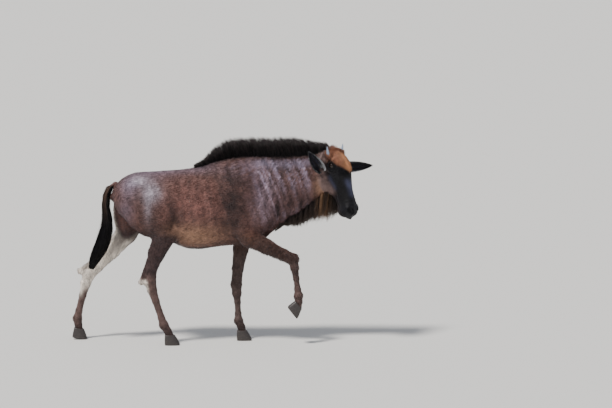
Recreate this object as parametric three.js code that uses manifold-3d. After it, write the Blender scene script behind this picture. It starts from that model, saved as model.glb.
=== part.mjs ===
// A young blue wildebeest walking, life-size, as one still model.
// Millimetres. +X is forwards, +Y the animal's left, +Z up.
// The flesh is one blended form, given by a distance field made of named muscles and bones.
// Each node is a piece of that form, and the hair is added to it as tapered locks.

import * as THREE from 'three';
import { mergeVertices } from 'three/addons/utils/BufferGeometryUtils.js';
import Module from 'manifold-3d';

// Driving sizes

const gap = 0.3;                 // clearance between two nodes that meet
const eyeRadius = 17;
const lidThickness = 2.4;
const hornLength = 46;
const hornBaseRadius = 10;
const earLength = 206;
const earHalfWidth = 32;
const earThickness = 5;
const maneHeight = 82;
const beardLength = 84;
const hoofLength = 76;
const clawWidth = 26;
const hoofHeight = 50;
const headLength = 348;

// Side profile of the trunk and neck, from the rump to the poll.
// x, height of the back, height of the belly, half width, height of the widest part, y of the middle
const trunkProfile = [
  [-546, 766, 722, 24, 744, 0],
  [-529, 803, 706, 56, 752, 0],
  [-490, 836, 672, 88, 756, 0],
  [-434, 859, 632, 102, 748, 0],
  [-353, 874, 580, 112, 728, 0],
  [-252, 883, 512, 118, 692, 0],
  [-172, 891, 478, 124, 670, 0],
  [-101, 907, 473, 127, 665, 0],
  [-25, 935, 484, 126, 665, 0],
  [60, 957, 492, 120, 680, 0],
  [151, 966, 490, 110, 700, 0],
  [215, 966, 515, 98, 730, 0],
  [268, 966, 560, 86, 755, -1],
  [330, 967, 603, 73, 785, -3],
  [404, 970, 655, 63, 815, -7],
  [470, 976, 708, 57, 845, -12],
  [530, 979, 755, 52, 872, -17],
  [590, 974, 800, 46, 892, -22],
];
const trunkTopPower = [[-548, 2.0], [-250, 2.1], [60, 1.75], [151, 1.7], [300, 1.85], [590, 2.0]];
const trunkBottomPower = 2.1;

// The head hangs steeply and turns towards the animal's right.
const poll = new THREE.Vector3(571, -20, 994);
const faceAxis = new THREE.Vector3(0.3006, -0.1952, -0.9336).normalize();
const headLeft = new THREE.Vector3(0.545, 0.839, 0).normalize();
const headFront = new THREE.Vector3().crossVectors(faceAxis, headLeft).normalize();

// Along the face, from the poll to the lips:
// distance, front line, jaw line, half width, front-back place of the widest part, squareness
const headProfile = [
  [-8, -26, -86, 26, -50, 2.0],
  [4, -4, -108, 43, -48, 2.2],
  [30, 26, -122, 56, -32, 2.4],
  [70, 46, -127, 61, -22, 2.5],
  [110, 54, -130, 60, -32, 2.4],
  [150, 52, -122, 54, -44, 2.2],
  [185, 43, -106, 46, -40, 2.2],
  [225, 33, -86, 40, -32, 2.2],
  [265, 28, -72, 39, -26, 2.3],
  [296, 24, -70, 43, -26, 2.5],
  [322, 19, -72, 46, -26, 2.6],
  [339, 8, -66, 41, -27, 2.5],
  [351, -8, -52, 25, -30, 2.2],
];

const eyePlace = { along: 86, front: -6, side: 47 };
const hornPlace = { along: 24, front: 2, side: 64 };
const hornLean = 0.4;            // how far the horns lean outwards for each length upwards
const nostrilPlace = { along: 322, front: 4, side: 30 };
const mouthFront = -46;          // front-back place of the mouth line on the muzzle

// The ears turn on their own: each has its foot, the way it points and the way its hollow faces.
const ears = {
  left: { along: 82, front: -58, side: 62, outward: [0.97, 0.18, -0.03], opening: [0.1, -0.95, -0.2] },
  right: { along: 86, front: -66, side: -61, outward: [-0.34, -0.76, 0.55], opening: [0.4, -0.55, -0.73] },
};

// Forms that the head's profile doesn't hold: centre along, to the front and to the side, half lengths, blend.
const headForms = {
  brow: [[72, 8, 50], [26, 13, 17], 14],
  hornBoss: [[26, -8, 46], [24, 22, 23], 14],
  cheek: [[126, -74, 40], [52, 40, 20], 22],
  nostrilWing: [[318, -5, 32], [23, 17, 17], 12],
  lowerLip: [[311, -66, 0], [30, 15, 29], 14],
};

// Each leg is a chain of bones: place and radius of each joint, from the body down to the hoof.
const legs = [
  {
    name: 'fore_right',
    chain: [
      [128, -84, 590, 60], [150, -87, 548, 52], [235, -87, 502, 41], [318, -86, 462, 32],
      [368, -85, 438, 31], [376, -85, 398, 24], [384, -85, 340, 16.5], [391, -85, 285, 16.5],
      [396, -85, 250, 23], [397, -85, 222, 19], [394, -85, 188, 20],
    ],
    upperCut: { at: [232, -87, 503], along: [0.885, -0.465] },
    lowerCut: { at: [374, -85, 408], along: [0.13, -0.99] },
    hoofCut: { at: [396, -85, 205], along: [-0.78, -0.62] },
    hoofTurn: 0.9,
  },
  {
    name: 'fore_left',
    chain: [
      [140, 82, 600, 60], [124, 80, 548, 52], [104, 76, 470, 42], [88, 72, 370, 32],
      [80, 68, 285, 30], [82, 66, 240, 24], [86, 62, 195, 16.5], [89, 58, 135, 16.5],
      [91, 55, 100, 23], [104, 51, 70, 20], [114, 49, 38, 20],
    ],
    upperCut: { at: [104, 76, 466], along: [0, -1] },
    lowerCut: { at: [82, 66, 248], along: [0, -1] },
    hoofCut: { at: [108, 50, 50], along: [0, -1] },
    hoofTurn: 0,
  },
  {
    name: 'hind_right',
    chain: [
      [-300, -84, 620, 74], [-270, -88, 572, 62], [-318, -90, 470, 46], [-345, -90, 385, 31],
      [-350, -90, 318, 31], [-343, -90, 285, 27], [-324, -90, 225, 19], [-296, -90, 140, 18],
      [-284, -90, 102, 24], [-264, -90, 70, 20], [-248, -90, 38, 20],
    ],
    upperCut: { at: [-322, -90, 468], along: [0, -1] },
    lowerCut: { at: [-340, -90, 272], along: [0.2, -0.98] },
    hoofCut: { at: [-254, -90, 50], along: [0, -1] },
    hoofTurn: 0,
    hockPoint: [-398, -90, 322],
    tendonTop: [-352, -90, 430],
  },
  {
    name: 'hind_left',
    chain: [
      [-455, 80, 612, 70], [-478, 84, 545, 57], [-552, 87, 455, 43], [-624, 87, 378, 33],
      [-672, 87, 326, 32], [-686, 87, 290, 28], [-702, 87, 225, 19], [-722, 87, 145, 18],
      [-730, 87, 106, 24], [-726, 87, 76, 20], [-718, 87, 40, 20],
    ],
    upperCut: { at: [-505, 86, 493], along: [-0.7, -0.71] },
    lowerCut: { at: [-690, 87, 274], along: [-0.23, -0.97] },
    hoofCut: { at: [-722, 87, 55], along: [-0.2, -0.98] },
    hoofTurn: 0.2,
    hockPoint: [-716, 87, 352],
    tendonTop: [-590, 87, 440],
  },
];

// Muscles that swell the trunk and the tops of the legs.
// centre, half lengths (along, across, up), turn about the cross axis in radians
const muscles = [
  [[128, -68, 778], [86, 42, 158], 0.42],
  [[128, 68, 778], [86, 42, 158], 0.42],
  [[214, -66, 662], [66, 48, 84], 0.3],
  [[214, 66, 662], [66, 48, 84], 0.3],
  [[112, -84, 640], [88, 42, 92], -0.2],
  [[112, 84, 640], [88, 42, 92], -0.2],
  [[-405, -58, 775], [118, 54, 84], 0.1],
  [[-405, 58, 775], [118, 54, 84], 0.1],
  [[-374, -74, 672], [150, 52, 104], -0.85],
  [[-462, -58, 728], [66, 46, 78], -0.2],
  [[-466, 70, 650], [80, 52, 130], 0.05],
  [[-458, 58, 735], [68, 46, 80], -0.2],
];
const blendBody = 34;
const blendLeg = 22;
const neckCutX = 285;
const headCut = { normal: [0.527, 0.85], distance: -30 };

// Small tools for numbers and vectors

const vec = (x, y, z) => new THREE.Vector3(x, y, z);
const clamp = (value, low, high) => Math.min(Math.max(value, low), high);
const mix = (a, b, share) => a + (b - a) * share;
const smoothstep = (low, high, value) => {
  const share = clamp((value - low) / (high - low), 0, 1);
  return share * share * (3 - 2 * share);
};

// A seeded source of numbers from 0 to 1, so that every build is the same.
function seededRandom(seed) {
  let state = seed;
  return () => {
    state = (state * 1664525 + 1013904223) % 4294967296;
    return state / 4294967296;
  };
}

// Value of column `column` of a profile at x, along a smooth curve through its rows.
function profileAt(profile, column, x) {
  const last = profile.length - 1;
  if (x <= profile[0][0]) return profile[0][column];
  if (x >= profile[last][0]) return profile[last][column];
  let row = 0;
  while (profile[row + 1][0] < x) row += 1;
  const slopeAt = (index) => {
    const before = profile[Math.max(index - 1, 0)];
    const after = profile[Math.min(index + 1, last)];
    return (after[column] - before[column]) / (after[0] - before[0]);
  };
  const width = profile[row + 1][0] - profile[row][0];
  const t = (x - profile[row][0]) / width;
  const rise = t * t * (3 - 2 * t);
  const leave = t * (1 - t) * (1 - t);
  const arrive = -t * t * (1 - t);
  return mix(profile[row][column], profile[row + 1][column], rise)
    + width * (leave * slopeAt(row) + arrive * slopeAt(row + 1));
}

// Distance fields: below zero inside, in millimetres near the surface

function smoothMin(a, b, blend) {
  const share = clamp(0.5 + 0.5 * (b - a) / blend, 0, 1);
  return mix(b, a, share) - blend * share * (1 - share);
}

function ellipsoid(p, centre, half, turn) {
  const x = p.x - centre[0];
  const y = (p.y - centre[1]) / half[1];
  const z = p.z - centre[2];
  const along = (x * Math.cos(turn) + z * Math.sin(turn)) / half[0];
  const up = (z * Math.cos(turn) - x * Math.sin(turn)) / half[2];
  const size = Math.hypot(along, y, up);
  const slope = Math.hypot(along / half[0], y / half[1], up / half[2]);
  return slope < 1e-9 ? -Math.min(...half) : size * (size - 1) / slope;
}

// A bone with a radius at each end; `flat` below 1 makes it thinner across the body.
function bone(p, from, to, flat) {
  const ax = p.x - from[0];
  const ay = p.y - from[1];
  const az = p.z - from[2];
  const bx = to[0] - from[0];
  const by = to[1] - from[1];
  const bz = to[2] - from[2];
  const share = clamp((ax * bx + ay * by + az * bz) / (bx * bx + by * by + bz * bz), 0, 1);
  const off = Math.hypot(ax - bx * share, (ay - by * share) / flat, az - bz * share);
  return (off - mix(from[3], to[3], share)) * 0.95;
}

function trunkField(p) {
  const first = trunkProfile[0][0];
  const last = trunkProfile[trunkProfile.length - 1][0];
  const x = clamp(p.x, first, last);
  const widest = profileAt(trunkProfile, 4, x);
  const above = p.z > widest;
  const reach = above ? profileAt(trunkProfile, 1, x) - widest : widest - profileAt(trunkProfile, 2, x);
  const halfWidth = profileAt(trunkProfile, 3, x);
  const power = above ? profileAt(trunkTopPower, 1, x) : trunkBottomPower;
  const across = Math.abs(p.y - profileAt(trunkProfile, 5, x)) / halfWidth;
  const up = Math.abs(p.z - widest) / reach;
  const size = Math.pow(Math.pow(across, power) + Math.pow(up, power), 1 / power);
  const side = (size - 1) * Math.min(halfWidth, reach) * 0.9;
  return side + Math.max(first - p.x, p.x - last, 0) * 0.9;
}

function headCoordinates(p) {
  const offset = p.clone().sub(poll);
  return vec(offset.dot(faceAxis), offset.dot(headFront), offset.dot(headLeft));
}

function headPoint(along, front, side) {
  return poll.clone()
    .addScaledVector(faceAxis, along)
    .addScaledVector(headFront, front)
    .addScaledVector(headLeft, side);
}

function headField(p) {
  const q = headCoordinates(p);
  const first = headProfile[0][0];
  const last = headProfile[headProfile.length - 1][0];
  const s = clamp(q.x, first, last);
  const widest = profileAt(headProfile, 4, s);
  const front = q.y > widest;
  const reach = front ? profileAt(headProfile, 1, s) - widest : widest - profileAt(headProfile, 2, s);
  const halfWidth = profileAt(headProfile, 3, s);
  const power = profileAt(headProfile, 5, s);
  const size = Math.pow(
    Math.pow(Math.abs(q.z) / halfWidth, power) + Math.pow(Math.abs(q.y - widest) / reach, power),
    1 / power,
  );
  let d = (size - 1) * Math.min(halfWidth, reach) * 0.9 + Math.max(first - q.x, q.x - last, 0) * 0.9;
  const mirrored = vec(q.x, q.y, Math.abs(q.z));
  for (const [centre, half, blend] of Object.values(headForms)) {
    d = smoothMin(d, ellipsoid(mirrored, centre, half, 0), blend);
  }
  return d;
}

function legField(p, leg) {
  let d = Infinity;
  for (let index = 0; index < leg.chain.length - 1; index += 1) {
    const flat = index < 3 ? 0.74 : 0.86;
    const piece = bone(p, leg.chain[index], leg.chain[index + 1], flat);
    d = index === 0 ? piece : smoothMin(d, piece, 9);
  }
  if (leg.hockPoint) {
    const hock = leg.chain[4];
    const heel = [...leg.hockPoint, 14];
    d = smoothMin(d, bone(p, [hock[0], hock[1], hock[2], 22], heel, 0.8), 10);
    d = smoothMin(d, bone(p, heel, [...leg.tendonTop, 20], 0.7), 12);
  }
  return d;
}

function bodyField(p) {
  let d = trunkField(p);
  for (const [centre, half, turn] of muscles) {
    d = smoothMin(d, ellipsoid(p, centre, half, turn), blendBody);
  }
  d = smoothMin(d, headField(p), 26);
  for (const leg of legs) {
    d = smoothMin(d, legField(p, leg), blendLeg);
  }
  return d;
}

// Outward direction of a field at a point
function fieldNormal(field, p, step = 1.5) {
  const along = (dx, dy, dz) => field(vec(p.x + dx, p.y + dy, p.z + dz));
  return vec(
    along(step, 0, 0) - along(-step, 0, 0),
    along(0, step, 0) - along(0, -step, 0),
    along(0, 0, step) - along(0, 0, -step),
  ).normalize();
}

// Where a ray from inside the form leaves it
function castOut(field, origin, direction, reach) {
  const at = (distance) => origin.clone().addScaledVector(direction, distance);
  const step = 6;
  let far = step;
  while (far < reach && field(at(far)) < 0) far += step;
  let near = far - step;
  for (let halving = 0; halving < 12; halving += 1) {
    const middle = (near + far) / 2;
    if (field(at(middle)) < 0) near = middle;
    else far = middle;
  }
  return at((near + far) / 2);
}

// Closed meshes

const wasm = await Module();
wasm.setup();

function solidFromArrays(positions, triangles) {
  const mesh = new wasm.Mesh({
    numProp: 3,
    vertProperties: new Float32Array(positions),
    triVerts: new Uint32Array(triangles),
  });
  return new wasm.Manifold(mesh);
}

function solidFromGeometry(geometry) {
  const bare = geometry.clone();
  bare.deleteAttribute('normal');
  bare.deleteAttribute('uv');
  const merged = mergeVertices(bare, 1e-4);
  return solidFromArrays(merged.attributes.position.array, merged.index.array);
}

function geometryFromSolid(solid) {
  const mesh = solid.getMesh();
  const geometry = new THREE.BufferGeometry();
  geometry.setAttribute('position', new THREE.Float32BufferAttribute(mesh.vertProperties, 3));
  geometry.setIndex(Array.from(mesh.triVerts));
  return geometry;
}

function largestPiece(solid) {
  const pieces = solid.decompose();
  return pieces.reduce((best, piece) => (piece.volume() > best.volume() ? piece : best));
}

// A skin through rings of points, closed at both ends by a fan round the ring's middle.
function ringSolid(rings) {
  const count = rings[0].length;
  const positions = [];
  const triangles = [];
  for (const ring of rings) {
    for (const point of ring) positions.push(point.x, point.y, point.z);
  }
  const middleOf = (ring) => ring.reduce((sum, point) => sum.add(point), vec(0, 0, 0)).divideScalar(count);
  const ends = [[rings[0], 0, 1], [rings[rings.length - 1], rings.length - 1, -1]];
  for (let level = 0; level < rings.length - 1; level += 1) {
    for (let k = 0; k < count; k += 1) {
      const a = level * count + k;
      const b = level * count + (k + 1) % count;
      triangles.push(a, b, b + count, a, b + count, a + count);
    }
  }
  for (const [ring, level, way] of ends) {
    const middle = middleOf(ring);
    const centre = positions.length / 3;
    positions.push(middle.x, middle.y, middle.z);
    for (let k = 0; k < count; k += 1) {
      const a = level * count + k;
      const b = level * count + (k + 1) % count;
      if (way > 0) triangles.push(centre, b, a);
      else triangles.push(centre, a, b);
    }
  }
  const solid = solidFromArrays(positions, triangles);
  if (solid.volume() > 0) return solid;
  const flipped = [];
  for (let k = 0; k < triangles.length; k += 3) flipped.push(triangles[k], triangles[k + 2], triangles[k + 1]);
  return solidFromArrays(positions, flipped);
}

// A skin cast outwards from an axis onto a field: one ring for each station on the axis.
function castSolid(field, stations, sides, reach) {
  const rings = stations.map(({ at, across, up }) => {
    const ring = [];
    for (let k = 0; k < sides; k += 1) {
      const angle = (k / sides) * 2 * Math.PI;
      const direction = across.clone().multiplyScalar(Math.cos(angle))
        .addScaledVector(up, Math.sin(angle));
      ring.push(castOut(field, at, direction, reach));
    }
    return ring;
  });
  return ringSolid(rings);
}

// A box that starts at a plane and runs along a direction in the side view.
function cutBox(cut, length, breadth, halfDepth, grown = 0) {
  const direction = vec(cut.along[0], 0, cut.along[1]).normalize();
  const geometry = new THREE.BoxGeometry(length + grown, 2 * (halfDepth + grown), breadth + 2 * grown);
  geometry.translate((length - grown) / 2, 0, 0);
  geometry.rotateY(-Math.atan2(direction.z, direction.x));
  geometry.translate(cut.at[0], cut.at[1], cut.at[2]);
  return solidFromGeometry(geometry);
}

// The flesh of the trunk as a net of quads over a grid of cells.
// Each cell that the surface crosses gets one point, drawn onto the field, and each grid edge
// that crosses the surface joins the four cells round it by a quad.
function netSolid(field, low, high, cell) {
  const count = [0, 1, 2].map((axis) => Math.ceil((high[axis] - low[axis]) / cell[axis]) + 1);
  const [nx, ny, nz] = count;
  const place = (i, j, k) => vec(low[0] + i * cell[0], low[1] + j * cell[1], low[2] + k * cell[2]);
  const number = (i, j, k) => (k * ny + j) * nx + i;
  const values = new Float64Array(nx * ny * nz);
  for (let k = 0; k < nz; k += 1) {
    for (let j = 0; j < ny; j += 1) {
      for (let i = 0; i < nx; i += 1) {
        const edge = i === 0 || j === 0 || k === 0 || i === nx - 1 || j === ny - 1 || k === nz - 1;
        const value = field(place(i, j, k));
        values[number(i, j, k)] = edge ? Math.max(value, 1) : value;
      }
    }
  }
  const corners = [0, 1].flatMap((c) => [0, 1].flatMap((b) => [0, 1].map((a) => [a, b, c])));
  const pairs = [];
  corners.forEach((first, from) => corners.forEach((second, to) => {
    const steps = Math.abs(first[0] - second[0]) + Math.abs(first[1] - second[1])
      + Math.abs(first[2] - second[2]);
    if (to > from && steps === 1) pairs.push([first, second]);
  }));
  const positions = [];
  const pointOf = new Map();
  for (let k = 0; k < nz - 1; k += 1) {
    for (let j = 0; j < ny - 1; j += 1) {
      for (let i = 0; i < nx - 1; i += 1) {
        const sum = vec(0, 0, 0);
        let crossings = 0;
        for (const [first, second] of pairs) {
          const a = values[number(i + first[0], j + first[1], k + first[2])];
          const b = values[number(i + second[0], j + second[1], k + second[2])];
          if (a < 0 === b < 0) continue;
          const start = place(i + first[0], j + first[1], k + first[2]);
          const end = place(i + second[0], j + second[1], k + second[2]);
          sum.add(start.lerp(end, a / (a - b)));
          crossings += 1;
        }
        if (crossings === 0) continue;
        const point = sum.divideScalar(crossings);
        const inner = i > 1 && j > 1 && k > 1 && i < nx - 3 && j < ny - 3 && k < nz - 3;
        if (inner) {
          point.addScaledVector(fieldNormal(field, point), -field(point));
          const margin = vec(...cell).multiplyScalar(0.06);
          point.clamp(place(i, j, k).add(margin), place(i + 1, j + 1, k + 1).sub(margin));
        }
        pointOf.set(number(i, j, k), positions.length / 3);
        positions.push(point.x, point.y, point.z);
      }
    }
  }
  const triangles = [];
  const axes = [[0, 1, 2], [1, 2, 0], [2, 0, 1]];
  for (let k = 0; k < nz - 1; k += 1) {
    for (let j = 0; j < ny - 1; j += 1) {
      for (let i = 0; i < nx - 1; i += 1) {
        for (const [axis, second, third] of axes) {
          const next = [i, j, k];
          if (next[second] === 0 || next[third] === 0) continue;
          next[axis] += 1;
          const here = values[number(i, j, k)] < 0;
          const there = values[number(...next)] < 0;
          if (here === there) continue;
          const ring = [[0, 0], [-1, 0], [-1, -1], [0, -1]].map(([b, c]) => {
            const spot = [i, j, k];
            spot[second] += b;
            spot[third] += c;
            return pointOf.get(number(...spot));
          });
          if (!here) ring.reverse();
          triangles.push(ring[0], ring[1], ring[2], ring[0], ring[2], ring[3]);
        }
      }
    }
  }
  return solidFromArrays(positions, triangles);
}

// Hair

// A flat tapered lock: its root lies in the flesh, it rises along `rise` and bends over to `lie`.
// Its flat side faces `facing`.
function lockSolid({ root, rise, lie, length, width, thickness, sunk, bend = 0.6, facing = vec(0, 1, 0) }) {
  const steps = 3;
  const rings = [];
  const start = root.clone().addScaledVector(rise, -sunk);
  const total = length + sunk;
  const place = start.clone();
  let heading = rise.clone();
  for (let index = 0; index <= steps; index += 1) {
    const share = index / steps;
    heading = rise.clone().lerp(lie, Math.min(1, share * bend * 2)).normalize();
    const across = facing.clone().cross(heading).normalize();
    const thin = across.clone().cross(heading).normalize();
    const taper = index === steps ? 0.22 : 1 - 0.6 * share * share;
    const swell = 0.75 + 0.5 * Math.sin(Math.PI * Math.min(share + 0.1, 1));
    const half = width / 2 * taper * swell;
    const deep = thickness / 2 * taper;
    rings.push([
      place.clone().addScaledVector(across, half),
      place.clone().addScaledVector(thin, deep),
      place.clone().addScaledVector(across, -half),
      place.clone().addScaledVector(thin, -deep),
    ]);
    place.addScaledVector(heading, total / steps);
  }
  return ringSolid(rings);
}

function joined(solids) {
  return solids.reduce((sum, solid) => sum.add(solid));
}

// The mane stands on the crest from behind the withers to the poll.
const maneFrom = -112;
const maneTo = 528;
function maneRise(x) {
  return maneHeight * smoothstep(maneFrom - 30, maneFrom + 190, x) * mix(1, 0.52, smoothstep(370, 540, x));
}

function crestPoint(x) {
  return vec(x, profileAt(trunkProfile, 5, x), profileAt(trunkProfile, 1, x));
}

function maneRidge(share, from, to) {
  const rings = [];
  const steps = Math.max(3, Math.round((to - from) / 30));
  for (let index = 0; index <= steps; index += 1) {
    const x = mix(from, to, index / steps);
    const base = crestPoint(x);
    const top = 6 + maneRise(x) * share;
    const lean = 10 * share;
    rings.push([
      vec(x, base.y - 20, base.z - 26), vec(x, base.y - 17, base.z + 2),
      vec(x - lean, base.y - 9, base.z + top * 0.7), vec(x - lean, base.y, base.z + top),
      vec(x - lean, base.y + 9, base.z + top * 0.7), vec(x, base.y + 17, base.z + 2),
      vec(x, base.y + 20, base.z - 26),
    ]);
  }
  return ringSolid(rings);
}

// The beard hangs under the neck and the throat.
const beardFrom = 312;
const beardTo = 560;
function beardDrop(x) {
  return beardLength * smoothstep(beardFrom - 25, beardFrom + 75, x) * mix(0.78, 1.35, smoothstep(400, 540, x));
}

function throatPoint(x) {
  return vec(x, profileAt(trunkProfile, 5, x), profileAt(trunkProfile, 2, x));
}

function beardKeel(share, from, to) {
  const rings = [];
  const steps = Math.max(3, Math.round((to - from) / 32));
  for (let index = 0; index <= steps; index += 1) {
    const x = mix(from, to, index / steps);
    const base = throatPoint(x);
    const drop = 4 + beardDrop(x) * share;
    rings.push([
      vec(x, base.y - 22, base.z + 34), vec(x - 4, base.y - 20, base.z + 2),
      vec(x - 8, base.y - 9, base.z - drop * 0.7), vec(x - 10, base.y, base.z - drop),
      vec(x - 8, base.y + 9, base.z - drop * 0.7), vec(x - 4, base.y + 20, base.z + 2),
      vec(x, base.y + 22, base.z + 34),
    ]);
  }
  return ringSolid(rings);
}

// Locks of the mane stand in rows on both sides of the crest, with their tips brushed backwards.
function maneLocks(from, to, random) {
  const locks = [];
  const spacing = 21;
  const steps = Math.round((to - from) / spacing);
  for (let index = 0; index < steps; index += 1) {
    const x = mix(from, to, (index + 0.5) / steps) + (random() - 0.5) * 6;
    const side = index % 2 === 0 ? 1 : -1;
    const base = crestPoint(x);
    const high = 8 + maneRise(x) * mix(0.92, 1.08, random());
    const lie = vec(-0.42 + 0.3 * (random() - 0.5), side * 0.12, 0.9).normalize();
    locks.push(lockSolid({
      root: vec(x, base.y + side * 6, base.z - 2),
      rise: vec(0.02, side * 0.1, 1).normalize(),
      lie,
      length: high,
      width: 39,
      thickness: 9,
      sunk: 22,
      bend: 0.5,
    }));
  }
  return locks;
}

// Locks of the beard hang in three rows under the neck, and sweep backwards.
function beardLocks(from, to, random) {
  const locks = [];
  const spacing = 21;
  const steps = Math.round((to - from) / spacing);
  for (let index = 0; index < steps; index += 1) {
    for (const side of [-1, 1]) {
      const x = mix(from, to, (index + 0.5) / steps) + (random() - 0.5) * 8;
      const base = throatPoint(x);
      const long = 12 + beardDrop(x) * mix(0.88, 1.08, random());
      locks.push(lockSolid({
        root: vec(x, base.y + side * 9, base.z + 4),
        rise: vec(0.05, side * 0.16, -1).normalize(),
        lie: vec(-0.35 + 0.3 * (random() - 0.5), side * 0.05, -0.9).normalize(),
        length: long,
        width: 32,
        thickness: 9,
        sunk: 20,
        bend: 0.5,
      }));
    }
  }
  return locks;
}

// Locks of the jaw carry the beard on towards the chin: two rows that hang from the jaw line.
function jawLocks(random) {
  const locks = [];
  const count = 5;
  for (let index = 0; index < count; index += 1) {
    for (const side of [-1, 1]) {
      const along = mix(158, 262, index / (count - 1));
      const jaw = profileAt(headProfile, 2, along);
      locks.push(lockSolid({
        root: headPoint(along, jaw + 12, side * 17),
        rise: vec(0.05, 0, -1).addScaledVector(headFront, -0.7).addScaledVector(headLeft, side * 0.2).normalize(),
        lie: vec(-0.12 + 0.2 * (random() - 0.5), 0, -1).normalize(),
        length: mix(78, 30, index / (count - 1)) * mix(0.9, 1.1, random()),
        width: 30,
        thickness: 8,
        sunk: 8,
        bend: 0.8,
        facing: headLeft,
      }));
    }
  }
  return locks;
}

// Locks of the forelock stand between the horns and lie over the brow.
function forelockLocks(random) {
  const locks = [];
  for (const [along, sides] of [[6, [-14, 15]], [32, [-28, 3, 29]], [64, [-31, -4, 30]]]) {
    for (const side of sides) {
      const front = profileAt(headProfile, 1, along) - 0.06 * Math.abs(side) ** 1.4;
      locks.push(lockSolid({
        root: headPoint(along, front - 1, side),
        rise: faceAxis.clone().addScaledVector(headFront, 0.62).normalize(),
        lie: faceAxis.clone().addScaledVector(headFront, 0.08).addScaledVector(headLeft, side * 0.006).normalize(),
        length: mix(32, 28, along / 64) * mix(0.9, 1.1, random()),
        width: 26,
        thickness: 7,
        sunk: 9,
        bend: 0.9,
        facing: headFront,
      }));
    }
  }
  return locks;
}

// Locks of the tail grow all round the lower part of the dock and lie along it.
function tailLocks(path, random) {
  const locks = [];
  const rows = 5;
  const around = 6;
  for (let row = 0; row < rows; row += 1) {
    for (let k = 0; k < around; k += 1) {
      const share = (row + 0.3 * random()) / rows;
      const at = mix(3.2, path.length - 2.2, share);
      const low = Math.floor(at);
      const part = at - low;
      const here = path[low].map((value, column) => mix(value, path[low + 1][column], part));
      const along = vec(path[low + 1][0] - path[low][0], 0, path[low + 1][2] - path[low][2]).normalize();
      const angle = ((k + 0.5 * (row % 2)) / around) * 2 * Math.PI;
      const thick = vec(0, 1, 0).cross(along).normalize();
      const out = thick.multiplyScalar(Math.cos(angle)).add(vec(0, Math.sin(angle), 0)).normalize();
      const size = mix(here[3], here[4], Math.abs(Math.sin(angle))) * 0.62;
      locks.push(lockSolid({
        root: vec(here[0], here[1], here[2]).addScaledVector(out, size),
        rise: along.clone().addScaledVector(out, 0.34).normalize(),
        lie: along.clone().addScaledVector(out, -0.02).normalize(),
        length: mix(118, 84, share) * mix(0.9, 1.1, random()),
        width: 24,
        thickness: 10,
        sunk: 16,
        bend: 0.6,
      }));
    }
  }
  return locks;
}

// The tail: a dock that widens into a long brush of hair.
// place of the middle and half sizes across the side view and across the body
const tailPath = [
  [-527, 0, 812, 15, 16],
  [-556, 0, 790, 17, 17],
  [-574, 0, 748, 18, 18],
  [-577, 0, 700, 20, 19],
  [-570, 0, 640, 26, 22],
  [-574, 0, 580, 34, 25],
  [-590, 0, 520, 38, 26],
  [-613, 0, 465, 36, 24],
  [-636, 0, 420, 26, 18],
  [-652, 0, 378, 10, 8],
];

function tailCore(path, sides) {
  return ringSolid(path.map(([x, y, z, halfX, halfY], index) => {
    const before = path[Math.max(index - 1, 0)];
    const after = path[Math.min(index + 1, path.length - 1)];
    const heading = vec(after[0] - before[0], 0, after[2] - before[2]).normalize();
    const across = vec(0, 1, 0);
    const thick = across.clone().cross(heading).normalize();
    const ring = [];
    for (let k = 0; k < sides; k += 1) {
      const angle = (k / sides) * 2 * Math.PI;
      ring.push(vec(x, y, z)
        .addScaledVector(thick, halfX * Math.cos(angle))
        .addScaledVector(across, halfY * Math.sin(angle)));
    }
    return ring;
  }));
}

// Pieces of the head

// A leaf-shaped cup: a rounded back and a hollow front, closed along its rim.
function earSolid(ear) {
  const along = 8;
  const round = 6;
  const base = headPoint(ear.along, ear.front, ear.side);
  const outward = vec(...ear.outward).normalize();
  const opening = vec(...ear.opening);
  opening.addScaledVector(outward, -opening.dot(outward)).normalize();
  const across = outward.clone().cross(opening).normalize();
  const positions = [];
  const place = (u, v, inner) => {
    const width = earHalfWidth * Math.pow(Math.sin(Math.PI * clamp(0.16 + 0.84 * u, 0, 1)), 0.62)
      * mix(1, 0.82, u);
    const curl = mix(1.5, 0.75, u);
    const angle = v * curl;
    const radius = width / Math.sin(Math.min(curl, 1.5));
    const depth = radius * (1 - Math.cos(angle)) * 0.9;
    const thick = earThickness * (1 - 0.7 * u);
    const shift = inner ? thick * (1 - 0.75 * v * v) : 0;
    return base.clone()
      .addScaledVector(outward, earLength * u - 16)
      .addScaledVector(across, radius * Math.sin(angle))
      .addScaledVector(opening, depth + shift - 14 * u * u + 6);
  };
  for (const inner of [false, true]) {
    for (let i = 0; i <= along; i += 1) {
      for (let j = 0; j <= round; j += 1) {
        const u = i === along ? 0.985 : i / along;
        const point = place(u, (j / round) * 2 - 1, inner);
        positions.push(point.x, point.y, point.z);
      }
    }
  }
  const wide = round + 1;
  const layer = (along + 1) * wide;
  const at = (i, j, inner) => (inner ? layer : 0) + i * wide + j;
  const triangles = [];
  const quad = (a, b, c, d) => triangles.push(a, b, c, a, c, d);
  for (let i = 0; i < along; i += 1) {
    for (let j = 0; j < round; j += 1) {
      quad(at(i, j, false), at(i, j + 1, false), at(i + 1, j + 1, false), at(i + 1, j, false));
      quad(at(i, j, true), at(i + 1, j, true), at(i + 1, j + 1, true), at(i, j + 1, true));
    }
    quad(at(i, 0, false), at(i + 1, 0, false), at(i + 1, 0, true), at(i, 0, true));
    quad(at(i, round, false), at(i, round, true), at(i + 1, round, true), at(i + 1, round, false));
  }
  for (let j = 0; j < round; j += 1) {
    quad(at(0, j, false), at(0, j, true), at(0, j + 1, true), at(0, j + 1, false));
    quad(at(along, j, false), at(along, j + 1, false), at(along, j + 1, true), at(along, j, true));
  }
  const solid = solidFromArrays(positions, triangles);
  if (solid.volume() > 0) return solid;
  const flipped = [];
  for (let k = 0; k < triangles.length; k += 3) flipped.push(triangles[k], triangles[k + 2], triangles[k + 1]);
  return solidFromArrays(positions, flipped);
}

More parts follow.
